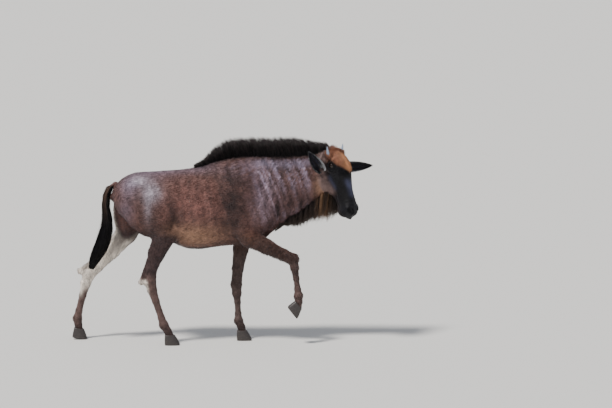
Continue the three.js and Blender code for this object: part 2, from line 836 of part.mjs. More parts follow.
function hornSolid(side) {
  const base = headPoint(hornPlace.along, hornPlace.front, side * hornPlace.side);
  const up = vec(0, 0, 1).addScaledVector(headLeft, side * hornLean).normalize();
  const outward = headLeft.clone().multiplyScalar(side);
  const rings = [];
  const steps = 5;
  const sides = 10;
  for (let index = 0; index <= steps; index += 1) {
    const share = index / steps;
    const radius = hornBaseRadius * mix(1, 0.16, Math.pow(share, 1.25));
    const middle = base.clone()
      .addScaledVector(up, share * (hornLength + 14) - 14)
      .addScaledVector(outward, -5 * share * share);
    const one = up.clone().cross(outward).normalize();
    const two = one.clone().cross(up).normalize();
    const ring = [];
    for (let k = 0; k < sides; k += 1) {
      const angle = (k / sides) * 2 * Math.PI;
      ring.push(middle.clone()
        .addScaledVector(one, radius * Math.cos(angle))
        .addScaledVector(two, radius * Math.sin(angle)));
    }
    rings.push(ring);
  }
  return ringSolid(rings);
}

function ballSolid(centre, radius, wide, high) {
  const geometry = new THREE.SphereGeometry(radius, wide, high);
  geometry.translate(centre.x, centre.y, centre.z);
  return solidFromGeometry(geometry);
}

// An ellipsoid with its half lengths along the face, towards the front and to the side.
function headEllipsoid(along, front, side, half, turn = 0, wide = 12, high = 8) {
  const geometry = new THREE.SphereGeometry(1, wide, high);
  geometry.scale(...half);
  geometry.rotateZ(turn);
  geometry.applyMatrix4(new THREE.Matrix4().makeBasis(faceAxis, headFront, headLeft.clone().negate()));
  const centre = headPoint(along, front, side);
  geometry.translate(centre.x, centre.y, centre.z);
  return solidFromGeometry(geometry);
}

// The mouth line: a groove round the muzzle.
function mouthGroove() {
  const rings = [];
  const steps = 16;
  const halfTurn = 1.9;
  for (let index = 0; index <= steps; index += 1) {
    const angle = mix(-halfTurn, halfTurn, index / steps);
    const back = smoothstep(0.9, halfTurn, Math.abs(angle));
    const direction = faceAxis.clone().multiplyScalar(Math.cos(angle))
      .addScaledVector(headLeft, Math.sin(angle))
      .addScaledVector(headFront, -0.1 * back)
      .normalize();
    const origin = headPoint(284, mouthFront, 0);
    const point = castOut(headField, origin, direction, 130);
    const out = fieldNormal(headField, point);
    const tangent = headFront.clone().cross(out).normalize();
    const flatWay = out.clone().cross(tangent).normalize();
    const deep = 5.5;
    const wide = 2.2;
    rings.push([
      point.clone().addScaledVector(out, -deep),
      point.clone().addScaledVector(flatWay, wide).addScaledVector(out, 1.5),
      point.clone().addScaledVector(out, 4),
      point.clone().addScaledVector(flatWay, -wide).addScaledVector(out, 1.5),
    ]);
  }
  return ringSolid(rings);
}

// A two-toed hoof with its sole at height 0 and its toes towards +X.
function hoofSolid() {
  const claws = [-1, 1].map((side) => {
    // height, length share, how far the ring is moved back, half width, place across
    const levels = [
      [0, 1.0, 0, 0.5, 0.55],
      [12, 0.97, -2, 0.5, 0.55],
      [30, 0.84, -7, 0.49, 0.5],
      [hoofHeight, 0.66, -13, 0.46, 0.42],
    ];
    const rings = levels.map(([height, lengthShare, shift, halfShare, across]) => {
      const long = hoofLength * lengthShare / 2;
      const half = clawWidth * halfShare;
      const outline = [
        [1, 0.12], [0.72, 0.72], [0.2, 1], [-0.45, 1], [-0.88, 0.72], [-1, 0],
        [-0.85, -0.7], [-0.4, -0.95], [0.3, -0.9], [0.8, -0.5],
      ];
      return outline.map(([x, y]) => vec(x * long + shift, side * (across * clawWidth + y * half), height));
    });
    return ringSolid(rings);
  });
  return claws[0].add(claws[1]);
}

// The nodes

const model = new THREE.Group();
const colours = {
  coat: 0x4c4145, head: 0x231f22, neck: 0x4a3b3c, leg: 0x6f6465, hair: 0x141216,
  horn: 0x8295a6, hoof: 0x2a2629, eye: 0x0c0a0b, ear: 0x2b2b33,
};

function addNode(name, solid, colour, roughness = 0.85) {
  const material = new THREE.MeshStandardMaterial({ color: colour, roughness, metalness: 0 });
  const mesh = new THREE.Mesh(geometryFromSolid(largestPiece(solid)), material);
  mesh.name = name;
  model.add(mesh);
}

const upperBoxes = legs.map((leg) => cutBox(leg.upperCut, 520, 230, 62));
const upperBoxesGrown = legs.map((leg) => cutBox(leg.upperCut, 520, 230, 62, gap));

// Half-space boxes for the neck and the head
function slab(point, normal, size, back = 0) {
  const geometry = new THREE.BoxGeometry(size, size, size);
  geometry.translate(0, 0, size / 2 + back);
  const turn = new THREE.Quaternion().setFromUnitVectors(vec(0, 0, 1), normal.clone().normalize());
  geometry.applyQuaternion(turn);
  geometry.translate(point.x, point.y, point.z);
  return solidFromGeometry(geometry);
}

const headCutNormal = faceAxis.clone().multiplyScalar(headCut.normal[0])
  .addScaledVector(headFront, headCut.normal[1])
  .normalize();
const headCutPoint = poll.clone().addScaledVector(headCutNormal, headCut.distance);
const beyondNeckCut = slab(vec(neckCutX, 0, 750), vec(1, 0, 0), 1200);
const beyondNeckCutGrown = slab(vec(neckCutX, 0, 750), vec(1, 0, 0), 1200, -gap);
const headSide = slab(headCutPoint, headCutNormal, 1200);
const headSideGrown = slab(headCutPoint, headCutNormal, 1200, -gap);

// Torso with the tops of the legs
const netLow = [-636, -176, 386];
const netHigh = [400, 180, 1010];
const netCell = [35, 26, 27];
let torso = netSolid(bodyField, netLow, netHigh, netCell);
const maneRandom = seededRandom(11);
torso = joined([
  torso,
  maneRidge(0.5, maneFrom, neckCutX + 60),
  ...maneLocks(maneFrom, neckCutX - 4, maneRandom),
]);
torso = torso.subtract(beyondNeckCutGrown);
for (const box of upperBoxesGrown) torso = torso.subtract(box);
addNode('torso', torso, colours.coat);

// Neck
const neckStations = [];
for (let x = neckCutX; x < 640; x += 29) {
  const inNeck = Math.min(x, 560);
  const middle = (profileAt(trunkProfile, 1, inNeck) + profileAt(trunkProfile, 2, inNeck)) / 2;
  neckStations.push({ at: vec(x, profileAt(trunkProfile, 5, inNeck), middle), across: vec(0, 1, 0), up: vec(0, 0, 1) });
}
let neck = castSolid(bodyField, neckStations, 26, 260);
neck = joined([
  neck,
  maneRidge(0.5, neckCutX - 20, maneTo),
  beardKeel(0.5, beardFrom - 14, beardTo),
  ...maneLocks(neckCutX + 6, maneTo, maneRandom),
  ...beardLocks(beardFrom, beardTo - 10, seededRandom(23)),
]);
neck = neck.intersect(beyondNeckCut).subtract(headSideGrown);
addNode('neck', neck, colours.neck);

// Head
const headStations = [];
const headSteps = 23;
for (let index = 0; index <= headSteps; index += 1) {
  const along = mix(-16, headLength - 1, index / headSteps);
  const widest = profileAt(headProfile, 4, along);
  headStations.push({ at: headPoint(along, widest, 0), across: headLeft, up: headFront });
}
let head = joined([castSolid(headField, headStations, 24, 200), ...jawLocks(seededRandom(54))]);
head = joined([head.intersect(headSide), ...forelockLocks(seededRandom(71)).map((lock) => lock.intersect(headSide))]);
const eyes = {};
for (const [name, side] of [['left', 1], ['right', -1]]) {
  const eyeCentre = headPoint(eyePlace.along, eyePlace.front, side * eyePlace.side);
  const lids = ballSolid(eyeCentre, eyeRadius + lidThickness, 14, 9);
  const opening = headEllipsoid(
    eyePlace.along, eyePlace.front + 1, side * (eyePlace.side + eyeRadius), [14, 9.5, 9], -0.35,
  );
  const nostril = headEllipsoid(
    nostrilPlace.along, nostrilPlace.front, side * (nostrilPlace.side + 10), [14, 6, 13], 0.5,
  );
  head = head.add(lids).subtract(ballSolid(eyeCentre, eyeRadius + gap, 14, 9));
  head = head.subtract(opening).subtract(nostril);
  eyes[name] = ballSolid(eyeCentre, eyeRadius, 14, 9);
}
head = head.subtract(mouthGroove());
const headGrown = castSolid((p) => headField(p) - 0.9, headStations, 24, 200);
const neckGrown = castSolid((p) => trunkField(p) - 1.5, neckStations.filter((station) => station.at.x < 590), 26, 260);
addNode('head', head, colours.head);

for (const [name, side] of [['left', 1], ['right', -1]]) {
  addNode(`eye_${name}`, eyes[name], colours.eye, 0.1);
  addNode(`horn_${name}`, hornSolid(side).subtract(headGrown), colours.horn, 0.45);
  addNode(`ear_${name}`, earSolid(ears[name]).subtract(headGrown).subtract(neckGrown).subtract(head), colours.ear);
}

// Tail
const tailCorePath = tailPath.map(([x, y, z, halfX, halfY], index) => {
  const thin = mix(1, 0.62, smoothstep(3, 6, index));
  return [x, y, z, halfX * thin, halfY * thin];
});
let tail = joined([tailCore(tailCorePath.slice(0, -1), 10), ...tailLocks(tailPath, seededRandom(41))]);
const rumpGrown = netSolid((p) => bodyField(p) - 1.2, netLow, netHigh, netCell);
tail = tail.subtract(rumpGrown);
addNode('tail', tail, colours.hair);

// Legs
const belowFloor = slab(vec(0, 0, 0), vec(0, 0, -1), 3000);
for (const [index, leg] of legs.entries()) {
  const lowerBox = cutBox(leg.lowerCut, 420, 150, 62);
  const lowerGrown = cutBox(leg.lowerCut, 420, 150, 62, gap);
  const hoofBoxGrown = cutBox(leg.hoofCut, 120, 150, 62, gap);
  const stations = [];
  const chain = leg.chain;
  const last = chain.length - 1;
  for (let jointIndex = 1; jointIndex < chain.length - 1; jointIndex += 1) {
    const from = chain[jointIndex];
    const to = chain[jointIndex + 1];
    const length = Math.hypot(to[0] - from[0], to[2] - from[2]);
    const pieces = Math.max(1, Math.round(length / 24));
    for (let piece = 0; piece < pieces; piece += 1) {
      const share = piece / pieces;
      const before = chain[jointIndex - 1];
      const wayBefore = vec(from[0] - before[0], 0, from[2] - before[2]).normalize();
      const way = vec(to[0] - from[0], 0, to[2] - from[2]).normalize();
      const heading = wayBefore.lerp(way, 0.5 + share / 2).normalize();
      const at = vec(mix(from[0], to[0], share), mix(from[1], to[1], share), mix(from[2], to[2], share));
      stations.push({ at, across: vec(0, 1, 0), up: vec(0, 1, 0).cross(heading).normalize() });
    }
  }
  stations.push({ ...stations[stations.length - 1], at: vec(chain[last][0], chain[last][1], chain[last][2]) });
  const whole = castSolid(bodyField, stations, 14, 90);
  const upper = whole.intersect(upperBoxes[index]).subtract(lowerGrown);
  const lower = whole.intersect(lowerBox).subtract(hoofBoxGrown);
  addNode(`upper_${leg.name}`, upper, colours.leg);
  addNode(`lower_${leg.name}`, lower, colours.leg);
  const geometry = geometryFromSolid(hoofSolid());
  geometry.translate(13, 0, -hoofHeight);
  geometry.rotateY(leg.hoofTurn);
  geometry.translate(...leg.hoofCut.at);
  const hoof = solidFromGeometry(geometry).subtract(belowFloor);
  addNode(`hoof_${leg.name}`, hoof, colours.hoof, 0.4);
}

// The origin is the middle of the model's box, at floor height.
const box = new THREE.Box3().setFromObject(model, true);
const middle = box.getCenter(vec(0, 0, 0));
model.position.set(-middle.x, -middle.y, -box.min.z);
model.updateMatrixWorld(true);

export default model;
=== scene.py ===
# %% [markdown]
# A young blue wildebeest in mid-step, life-size, as a museum would show it.
#
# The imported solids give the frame, and the left eye's box says where the animal's own sizes lie in it.
# This file puts one living skin over all of the flesh, then the coat, the mane, the beard and the tail.
# Lengths are worked out in millimetres in the animal's own frame, and become metres as a mesh is made.

# %% Load the frame
import math
from itertools import chain

import bmesh
import bpy
import numpy as np
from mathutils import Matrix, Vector


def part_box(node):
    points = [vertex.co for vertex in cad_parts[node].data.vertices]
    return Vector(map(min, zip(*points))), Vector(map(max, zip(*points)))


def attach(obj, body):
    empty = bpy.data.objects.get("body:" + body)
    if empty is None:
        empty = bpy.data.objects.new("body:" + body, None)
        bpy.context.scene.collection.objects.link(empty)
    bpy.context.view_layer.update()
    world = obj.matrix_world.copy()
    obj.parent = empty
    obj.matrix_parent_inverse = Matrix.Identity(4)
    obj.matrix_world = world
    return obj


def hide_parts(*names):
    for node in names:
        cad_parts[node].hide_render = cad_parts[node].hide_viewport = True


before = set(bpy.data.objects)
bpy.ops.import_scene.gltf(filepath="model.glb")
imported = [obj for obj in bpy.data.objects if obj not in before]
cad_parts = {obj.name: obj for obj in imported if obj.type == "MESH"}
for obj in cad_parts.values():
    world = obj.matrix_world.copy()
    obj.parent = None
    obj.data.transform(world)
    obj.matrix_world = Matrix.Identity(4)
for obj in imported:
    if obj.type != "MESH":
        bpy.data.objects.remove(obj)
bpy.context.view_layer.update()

# %% [markdown]
# The body's shape is a distance field: a function that is below zero inside the flesh and above outside.
# Muscles and bones are simple forms, and a smooth minimum melts each into the next, as flesh covers bone.
# A modelled mesh would need every seam between leg and trunk sewn by hand, so the field is the better way.

# %% Small helpers
def clip01(value):
    """The value held between 0 and 1."""
    return np.clip(value, 0.0, 1.0)


def smoothstep(low, high, value):
    """A soft rise from 0 at low to 1 at high: three times the share squared, less twice its cube."""
    share = clip01((value - low) / (high - low))
    return share * share * (3 - 2 * share)


def mix(a, b, share):
    """a and b blended by share."""
    return a + (b - a) * share


def smooth_min(a, b, blend):
    """The smaller of two distances, rounded where they are within blend of each other."""
    share = clip01(0.5 + 0.5 * (b - a) / blend)
    return mix(b, a, share) - blend * share * (1 - share)


def smooth_max(a, b, blend):
    """The larger of two distances, rounded in the same way."""
    return -smooth_min(-a, -b, blend)


def window(value, rise_from, rise_to, fall_from, fall_to):
    """1 between two limits: a soft rise times a soft fall."""
    return smoothstep(rise_from, rise_to, value) * smoothstep(fall_to, fall_from, value)


def ridge(offset, width):
    """A bell: e to the power of less the offset over the width, squared."""
    return np.exp(-(offset / width) ** 2)


def unit(vectors):
    """Each vector divided by its length."""
    length = np.linalg.norm(vectors, axis=-1, keepdims=True)
    return vectors / np.maximum(length, 1e-9)


def profile(rows, column, x):
    """A smooth curve through the first column and another: cubic, with slopes from the neighbours."""
    table = np.array(rows, dtype=float)
    places, values = table[:, 0], table[:, column]
    before = np.maximum(np.arange(len(places)) - 1, 0)
    after = np.minimum(np.arange(len(places)) + 1, len(places) - 1)
    slopes = (values[after] - values[before]) / (places[after] - places[before])
    held = np.clip(x, places[0], places[-1])
    row = np.clip(np.searchsorted(places, held, side="left") - 1, 0, len(places) - 2)
    width = places[row + 1] - places[row]
    t = (held - places[row]) / width
    curve = mix(values[row], values[row + 1], t * t * (3 - 2 * t))
    return curve + width * (t * (1 - t) ** 2 * slopes[row] - t * t * (1 - t) * slopes[row + 1])


# %% The animal's sizes, in millimetres
EYE_RADIUS = 17.0
# x, height of the back, height of the belly, half width, height of the widest part, y of the middle
TRUNK = [
    (-546, 766, 722, 24, 744, 0), (-529, 803, 706, 56, 752, 0), (-490, 836, 672, 88, 756, 0),
    (-434, 859, 632, 102, 748, 0), (-353, 874, 580, 112, 728, 0), (-252, 883, 512, 118, 692, 0),
    (-172, 891, 478, 124, 670, 0), (-101, 907, 473, 127, 665, 0), (-25, 935, 484, 126, 665, 0),
    (60, 957, 492, 120, 680, 0), (151, 966, 490, 110, 700, 0), (215, 966, 515, 98, 730, 0),
    (268, 966, 560, 86, 755, -1), (330, 967, 603, 73, 785, -3), (404, 970, 655, 63, 815, -7),
    (470, 976, 708, 57, 845, -12), (530, 979, 755, 52, 872, -17), (590, 974, 800, 46, 892, -22),
]
TRUNK_TOP_POWER = [(-548, 2.0), (-250, 2.1), (60, 1.75), (151, 1.7), (300, 1.85), (590, 2.0)]
TRUNK_BOTTOM_POWER = 2.1
# distance from the poll, front line, jaw line, half width, place of the widest part, squareness
HEAD = [
    (-8, -26, -86, 26, -50, 2.0), (4, -4, -108, 43, -48, 2.2), (30, 26, -122, 56, -32, 2.4),
    (70, 46, -127, 61, -22, 2.5), (110, 54, -130, 60, -32, 2.4), (150, 52, -122, 54, -44, 2.2),
    (185, 43, -106, 46, -40, 2.2), (225, 33, -86, 40, -32, 2.2), (265, 28, -72, 39, -26, 2.3),
    (296, 24, -70, 43, -26, 2.5), (322, 19, -72, 46, -26, 2.6), (339, 8, -66, 41, -27, 2.5),
    (351, -8, -52, 25, -30, 2.2),
]
HEAD_FORMS = [  # middle along, to the front and to the side, half lengths, blend
    ((72, 8, 50), (26, 13, 17), 14), ((26, -8, 46), (24, 22, 23), 14), ((126, -74, 40), (52, 40, 20), 22),
    ((318, -5, 32), (23, 17, 17), 12), ((311, -66, 0), (30, 15, 29), 14),
]
UP = np.array([0.0, 0.0, 1.0])
POLL = np.array([571.0, -20.0, 994.0])
FACE_AXIS = unit(np.array([0.3006, -0.1952, -0.9336]))
HEAD_LEFT = unit(np.array([0.545, 0.839, 0.0]))
HEAD_FRONT = unit(np.cross(FACE_AXIS, HEAD_LEFT))
HEAD_AXES = np.stack([FACE_AXIS, HEAD_FRONT, HEAD_LEFT])
EYE = (86.0, -6.0, 47.0)          # along the face, to the front, to the side
HORN, HORN_LEAN = (24.0, 2.0, 64.0), 0.4
NOSTRIL, NOSTRIL_TILT = (330.0, 6.0, 28.0), 0.5
MOUTH_FRONT = -46.0
EARS = {  # foot along the face, to the front and to the side, the way it points, the way its hollow faces
    "left": ((82, -58, 62), (0.97, 0.18, -0.03), (0.1, -0.95, -0.2)),
    "right": ((86, -66, -61), (-0.34, -0.76, 0.55), (0.4, -0.55, -0.73)),
}
# Each leg: its joints' places and radii, from the body down to the hoof
LEGS = {
    "fore_right": [
        (128, -84, 590, 60), (150, -87, 548, 52), (235, -87, 502, 41), (318, -86, 462, 32),
        (368, -85, 438, 31), (376, -85, 398, 24), (384, -85, 340, 16.5), (391, -85, 285, 16.5),
        (396, -85, 250, 23), (397, -85, 222, 19), (394, -85, 188, 20),
    ],
    "fore_left": [
        (140, 82, 600, 60), (124, 80, 548, 52), (104, 76, 470, 42), (88, 72, 370, 32),
        (80, 68, 285, 30), (82, 66, 240, 24), (86, 62, 195, 16.5), (89, 58, 135, 16.5),
        (91, 55, 100, 23), (104, 51, 70, 20), (114, 49, 38, 20),
    ],
    "hind_right": [
        (-300, -84, 620, 74), (-270, -88, 572, 62), (-318, -90, 470, 46), (-345, -90, 385, 31),
        (-350, -90, 318, 31), (-343, -90, 285, 27), (-324, -90, 225, 19), (-296, -90, 140, 18),
        (-284, -90, 102, 24), (-264, -90, 70, 20), (-248, -90, 38, 20),
    ],
    "hind_left": [
        (-455, 80, 612, 70), (-478, 84, 545, 57), (-552, 87, 455, 43), (-624, 87, 378, 33),
        (-672, 87, 326, 32), (-686, 87, 290, 28), (-702, 87, 225, 19), (-722, 87, 145, 18),
        (-730, 87, 106, 24), (-726, 87, 76, 20), (-718, 87, 40, 20),
    ],
}
HOCKS = {  # point of the hock, and the top of the tendon that runs down to it
    "hind_right": ((-398, -90, 322), (-352, -90, 430)),
    "hind_left": ((-716, 87, 352), (-590, 87, 440)),
}
HOOFS = {  # middle of the coronet, how far the hoof is turned toes down, in radians
    "fore_right": ((396, -85, 205), 0.9),
    "fore_left": ((108, 50, 50), 0.0),
    "hind_right": ((-254, -90, 50), 0.0),
    "hind_left": ((-722, 87, 55), 0.2),
}
MUSCLES = [  # middle, half lengths along, across and up, turn in the side view
    ((128, -68, 778), (86, 42, 158), 0.42), ((128, 68, 778), (86, 42, 158), 0.42),
    ((214, -66, 662), (66, 48, 84), 0.3), ((214, 66, 662), (66, 48, 84), 0.3),
    ((112, -84, 640), (88, 42, 92), -0.2), ((112, 84, 640), (88, 42, 92), -0.2),
    ((-405, -58, 775), (118, 54, 84), 0.1), ((-405, 58, 775), (118, 54, 84), 0.1),
    ((-374, -74, 672), (150, 52, 104), -0.85), ((-462, -58, 728), (66, 46, 78), -0.2),
    ((-466, 70, 650), (80, 52, 130), 0.05), ((-458, 58, 735), (68, 46, 80), -0.2),
]
TAIL = [  # place of the middle, half sizes in the side view and across
    (-527, 0, 812, 15, 16), (-556, 0, 790, 17, 17), (-574, 0, 748, 18, 18), (-577, 0, 700, 20, 19),
    (-570, 0, 640, 26, 22), (-574, 0, 580, 34, 25), (-590, 0, 520, 38, 26), (-613, 0, 465, 36, 24),
    (-636, 0, 420, 26, 18), (-652, 0, 378, 10, 8),
]
MANE_FROM, MANE_TO, MANE_HEIGHT = -112.0, 528.0, 82.0
BEARD_FROM, BEARD_TO = 312.0, 560.0


def head_point(along, front, side):
    """Poll plus so much of each of the head's three axes."""
    return POLL + along * FACE_AXIS + front * HEAD_FRONT + side * HEAD_LEFT


def head_coordinates(points):
    """How far each point is along the face, to the front and to the left of the poll."""
    return (points - POLL) @ HEAD_AXES.T


def ahead_of_throat(s, t):
    """How far a place lies in front of the slanting plane between neck and head."""
    return 0.527 * s + 0.85 * t


eye_low, eye_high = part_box("eye_left")
eye_middle = (np.array(eye_low) + np.array(eye_high)) / 2
SHIFT = eye_middle * 1000 - head_point(*EYE)
print("animal's own origin lies at", np.round(SHIFT, 2), "mm in the frame")

# %% [markdown]
# Four simple forms are enough for the body: a loft for the trunk and neck, a loft for the head,
# an ellipsoid for a muscle, and a rounded bone with a radius at each end for a stretch of leg.

# %% Forms of the body
def ellipsoid(x, y, z, middle, half, turn=0.0):
    """Distance to an ellipsoid: its scaled radius times that radius less one, over the slope."""
    across = (y - middle[1]) / half[1]
    along = ((x - middle[0]) * math.cos(turn) + (z - middle[2]) * math.sin(turn)) / half[0]
    up = ((z - middle[2]) * math.cos(turn) - (x - middle[0]) * math.sin(turn)) / half[2]
    size = np.sqrt(along ** 2 + across ** 2 + up ** 2)
    slope = np.sqrt((along / half[0]) ** 2 + (across / half[1]) ** 2 + (up / half[2]) ** 2)
    return size * (size - 1) / np.maximum(slope, 1e-6)


def bone(x, y, z, start, end, flat):
    """Distance to a line from start to end, less a radius that changes evenly along it."""
    step = [end[axis] - start[axis] for axis in range(3)]
    dx, dy, dz = x - start[0], y - start[1], z - start[2]
    share = clip01((dx * step[0] + dy * step[1] + dz * step[2]) / sum(part * part for part in step))
    off = np.sqrt((dx - step[0] * share) ** 2 + ((dy - step[1] * share) / flat) ** 2
                  + (dz - step[2] * share) ** 2)
    return (off - mix(start[3], end[3], share)) * 0.95


def loft(across, up, top, bottom, half_width, widest, power):
    """Distance to a rounded section: the two scaled offsets raised to a power, summed, less one."""
    reach = np.where(up > widest, top - widest, widest - bottom)
    size = ((np.abs(across) / half_width) ** power + (np.abs(up - widest) / reach) ** power) ** (1 / power)
    return (size - 1) * np.minimum(half_width, reach) * 0.9


def trunk_form(x, y, z):
    """The trunk and neck: a section across x whose sizes follow the side profile."""
    top, bottom, half_width, widest, middle = (profile(TRUNK, column, x) for column in range(1, 6))
    power = np.where(z > widest, profile(TRUNK_TOP_POWER, 1, x), TRUNK_BOTTOM_POWER)
    side = loft(y - middle, z, top, bottom, half_width, widest, power)
    return side + np.maximum(np.maximum(TRUNK[0][0] - x, x - TRUNK[-1][0]), 0) * 0.9


def head_form(x, y, z):
    """The head: a section across the face's line, with brow, horn boss, cheek, nostril wing and lip."""
    s, t, w = (
        (x - POLL[0]) * axis[0] + (y - POLL[1]) * axis[1] + (z - POLL[2]) * axis[2] for axis in HEAD_AXES
    )
    top, bottom, half_width, widest, power = (profile(HEAD, column, s) for column in range(1, 6))
    d = loft(w, t, top, bottom, half_width, widest, power)
    d = d + np.maximum(np.maximum(HEAD[0][0] - s, s - HEAD[-1][0]), 0) * 0.9
    aside = np.abs(w)
    for middle, half, blend in HEAD_FORMS:
        d = smooth_min(d, ellipsoid(s, t, aside, middle, half), blend)
    return d


def leg_form(name):
    """A leg: its bones melted together, flattened across, with heel and tendon on a hind leg."""
    joints = LEGS[name]

    def form(x, y, z):
        d = None
        for index, (start, end) in enumerate(zip(joints, joints[1:])):
            piece = bone(x, y, z, start, end, 0.74 if index < 3 else 0.86)
            d = piece if d is None else smooth_min(d, piece, 9)
        if name in HOCKS:
            heel, tendon = HOCKS[name]
            hock = joints[4]
            d = smooth_min(d, bone(x, y, z, (*hock[:3], 22), (*heel, 14), 0.8), 10)
            d = smooth_min(d, bone(x, y, z, (*heel, 14), (*tendon, 20), 0.7), 12)
        return d

    return form


def dock_form(x, y, z):
    """The tail's dock: bones through the first places of the tail, getting thinner."""
    d = None
    for index, (start, end) in enumerate(zip(TAIL[:5], TAIL[1:6])):
        radii = [13 - 1.1 * index, 13 - 1.1 * (index + 1)]
        piece = bone(x, y, z, (*start[:3], radii[0]), (*end[:3], radii[1]), 0.95)
        d = piece if d is None else smooth_min(d, piece, 6)
    return d


def ear_directions(word):
    """The ear's foot, its length, the way that its hollow faces, and the way across it."""
    foot, outward, opening = EARS[word]
    outward, opening = unit(np.array(outward)), np.array(opening)
    opening = unit(opening - outward * (opening @ outward))
    return head_point(*foot), outward, opening, np.cross(outward, opening)


def ear_stem_form(word):
    """The short stem that carries an ear cup: a bone from inside the head to the cup's foot."""
    foot, outward, opening, _ = ear_directions(word)
    tip = foot + 16 * outward + 7 * opening
    inner = foot - 34 * outward
    return lambda x, y, z: bone(x, y, z, (*inner, 22), (*tip, 14), 1.0)


# %% Where each form matters
HEAD_BLEND, LEG_BLEND, DOCK_BLEND, EAR_BLEND, MUSCLE_BLEND = 26.0, 22.0, 14.0, 12.0, 34.0
FAR_OUTSIDE = 60.0  # the field's value where no form is near


def reach_of(places, radius):
    """The box round some places, grown by a radius."""
    table = np.array([place[:3] for place in places], dtype=float)
    return table.min(axis=0) - radius, table.max(axis=0) + radius


# form, lowest and highest corner of its box, blend
FORMS = [(trunk_form, np.array([-560.0, -150, 460]), np.array([605.0, 150, 990]), 1.0)]
for middle, half, turn in MUSCLES:
    reach = max(half[0], half[2]) + 8
    FORMS.append((
        lambda x, y, z, m=middle, h=half, a=turn: ellipsoid(x, y, z, m, h, a),
        np.array(middle) - reach, np.array(middle) + reach, MUSCLE_BLEND,
    ))
FORMS.append((head_form, *reach_of([head_point(-20, 0, 0), head_point(380, 0, 0)], 150), HEAD_BLEND))
for name, joints in LEGS.items():
    FORMS.append((leg_form(name), *reach_of(joints, 80), LEG_BLEND))
FORMS.append((dock_form, *reach_of(TAIL[:6], 20), DOCK_BLEND))
for word in EARS:
    FORMS.append((ear_stem_form(word), *reach_of([ear_directions(word)[0]], 70), EAR_BLEND))
print(len(FORMS), "forms")


def body_distance(points):
    """The smooth minimum of all forms at some points, each form only within its box."""
    d = np.full(len(points), FAR_OUTSIDE)
    for form, low, high, blend in FORMS:
        near = np.all((points > low - blend) & (points < high + blend), axis=1)
        x, y, z = points[near].T
        d[near] = smooth_min(d[near], form(x, y, z), blend)
    return d


# %% [markdown]
# The hair of the coat stands a few millimetres proud, so the skin lies that much inside the solids.
# On the head the skin also gets its finer forms: lids, folds round the eye, nostril, lips and mouth line.

# %% The skin's own field
COAT_DEPTH, FACE_DEPTH, LEG_DEPTH = 4.0, 1.2, 1.5


def coat_depth(points):
    """How far the skin lies inside the coat: most on the trunk, least on the face and the lower legs."""
    s = head_coordinates(points)[:, 0]
    on_head = smoothstep(540, 590, points[:, 0] - 0.3 * (points[:, 2] - 900)) * smoothstep(-30, 60, s)
    low_leg = smoothstep(330, 240, points[:, 2])
    return mix(mix(COAT_DEPTH, FACE_DEPTH, on_head), LEG_DEPTH, low_leg)


def nostril_form(s, t, aside, half):
    """Distance to the slanting oval that the nostril's rim, its hole and the painted shade in it follow.
    """
    return ellipsoid(s, t, aside, (NOSTRIL[0], NOSTRIL[1], NOSTRIL[2] + 9), half, NOSTRIL_TILT)


def add_small_forms(s, t, aside, d):
    """Melts on the upper lip, the chin and the haired boss that each horn grows from."""
    d = smooth_min(d, ellipsoid(s, t, aside, (332, -12, 12), (27, 29, 24)), 12)
    d = smooth_min(d, ellipsoid(s, t, aside, (322, -58, 6), (26, 16, 20)), 8)
    boss = np.sqrt((s - HORN[0] - 9) ** 2 + (t - HORN[1]) ** 2 + (aside - HORN[2] + 4) ** 2) - 15
    return smooth_min(d, boss, 12)


# %% Lids
LID_THICKNESS, LID_TILT = 2.6, -0.35
LID_HALF_LENGTH, LID_HALF_HEIGHT = 17.5, 12.5


def add_lids(s, t, aside, d):
    """A thin cover over the eyeball, open in an almond, with folds round it.

    The almond is an ellipse, ring is a place's distance as a share of it, and each fold is a bell of ring.
    """
    ball = np.sqrt((s - EYE[0]) ** 2 + (t - EYE[1]) ** 2 + (aside - EYE[2]) ** 2)
    d = smooth_min(d, ball - (EYE_RADIUS + LID_THICKNESS), 5)
    along = (s - EYE[0]) * math.cos(LID_TILT) + (t - EYE[1]) * math.sin(LID_TILT)
    across = (t - EYE[1]) * math.cos(LID_TILT) - (s - EYE[0]) * math.sin(LID_TILT)
    ring = np.sqrt((along / LID_HALF_LENGTH) ** 2 + (across / LID_HALF_HEIGHT) ** 2)
    near_eye = smoothstep(40, 25, np.abs(aside - EYE[2] - EYE_RADIUS))
    d = d - 1.6 * ridge(ring - 1.12, 0.16) * near_eye
    d = d + 1.3 * ridge(ring - 1.75, 0.22) * near_eye
    d = d + 0.7 * np.sin(ring * 7.5) * ridge(ring - 2.3, 0.7) * near_eye
    opening = np.maximum((ring - 0.98) * 9.0, EYE[2] + 3 - aside)
    d = smooth_max(d, -opening, 1.0)
    return smooth_max(d, EYE_RADIUS + 0.25 - ball, 0.6)


# %% Nostril, mouth and lines of the face
MOUTH_CORNER = 218.0  # how far along the face the mouth begins


def add_nostril(s, t, aside, d):
    """Raises a rim and cuts a hole that runs in under it."""
    near_nose = smoothstep(60, 30, np.abs(s - NOSTRIL[0]))
    d = d - 2.0 * ridge(nostril_form(s, t, aside, (20, 11, 16)), 4.0) * near_nose
    return smooth_max(d, -nostril_form(s, t, aside, (14, 6, 17)), 2.5)


def add_mouth(s, t, d):
    """Raises two lips and cuts a thin groove between them, along a line that dips as a sine."""
    line = MOUTH_FRONT + 7 * smoothstep(280, 228, s) - 2.5 * np.sin((s - 216) / 20)
    lips = ridge(t - line - 7, 5) + ridge(t - line + 7, 5)
    d = d - 2.2 * smoothstep(212, 238, s) * lips
    groove = np.maximum(np.abs(t - line) - 1.3, -(d + 6))
    return smooth_max(d, -np.maximum(groove, MOUTH_CORNER - s), 1.2)


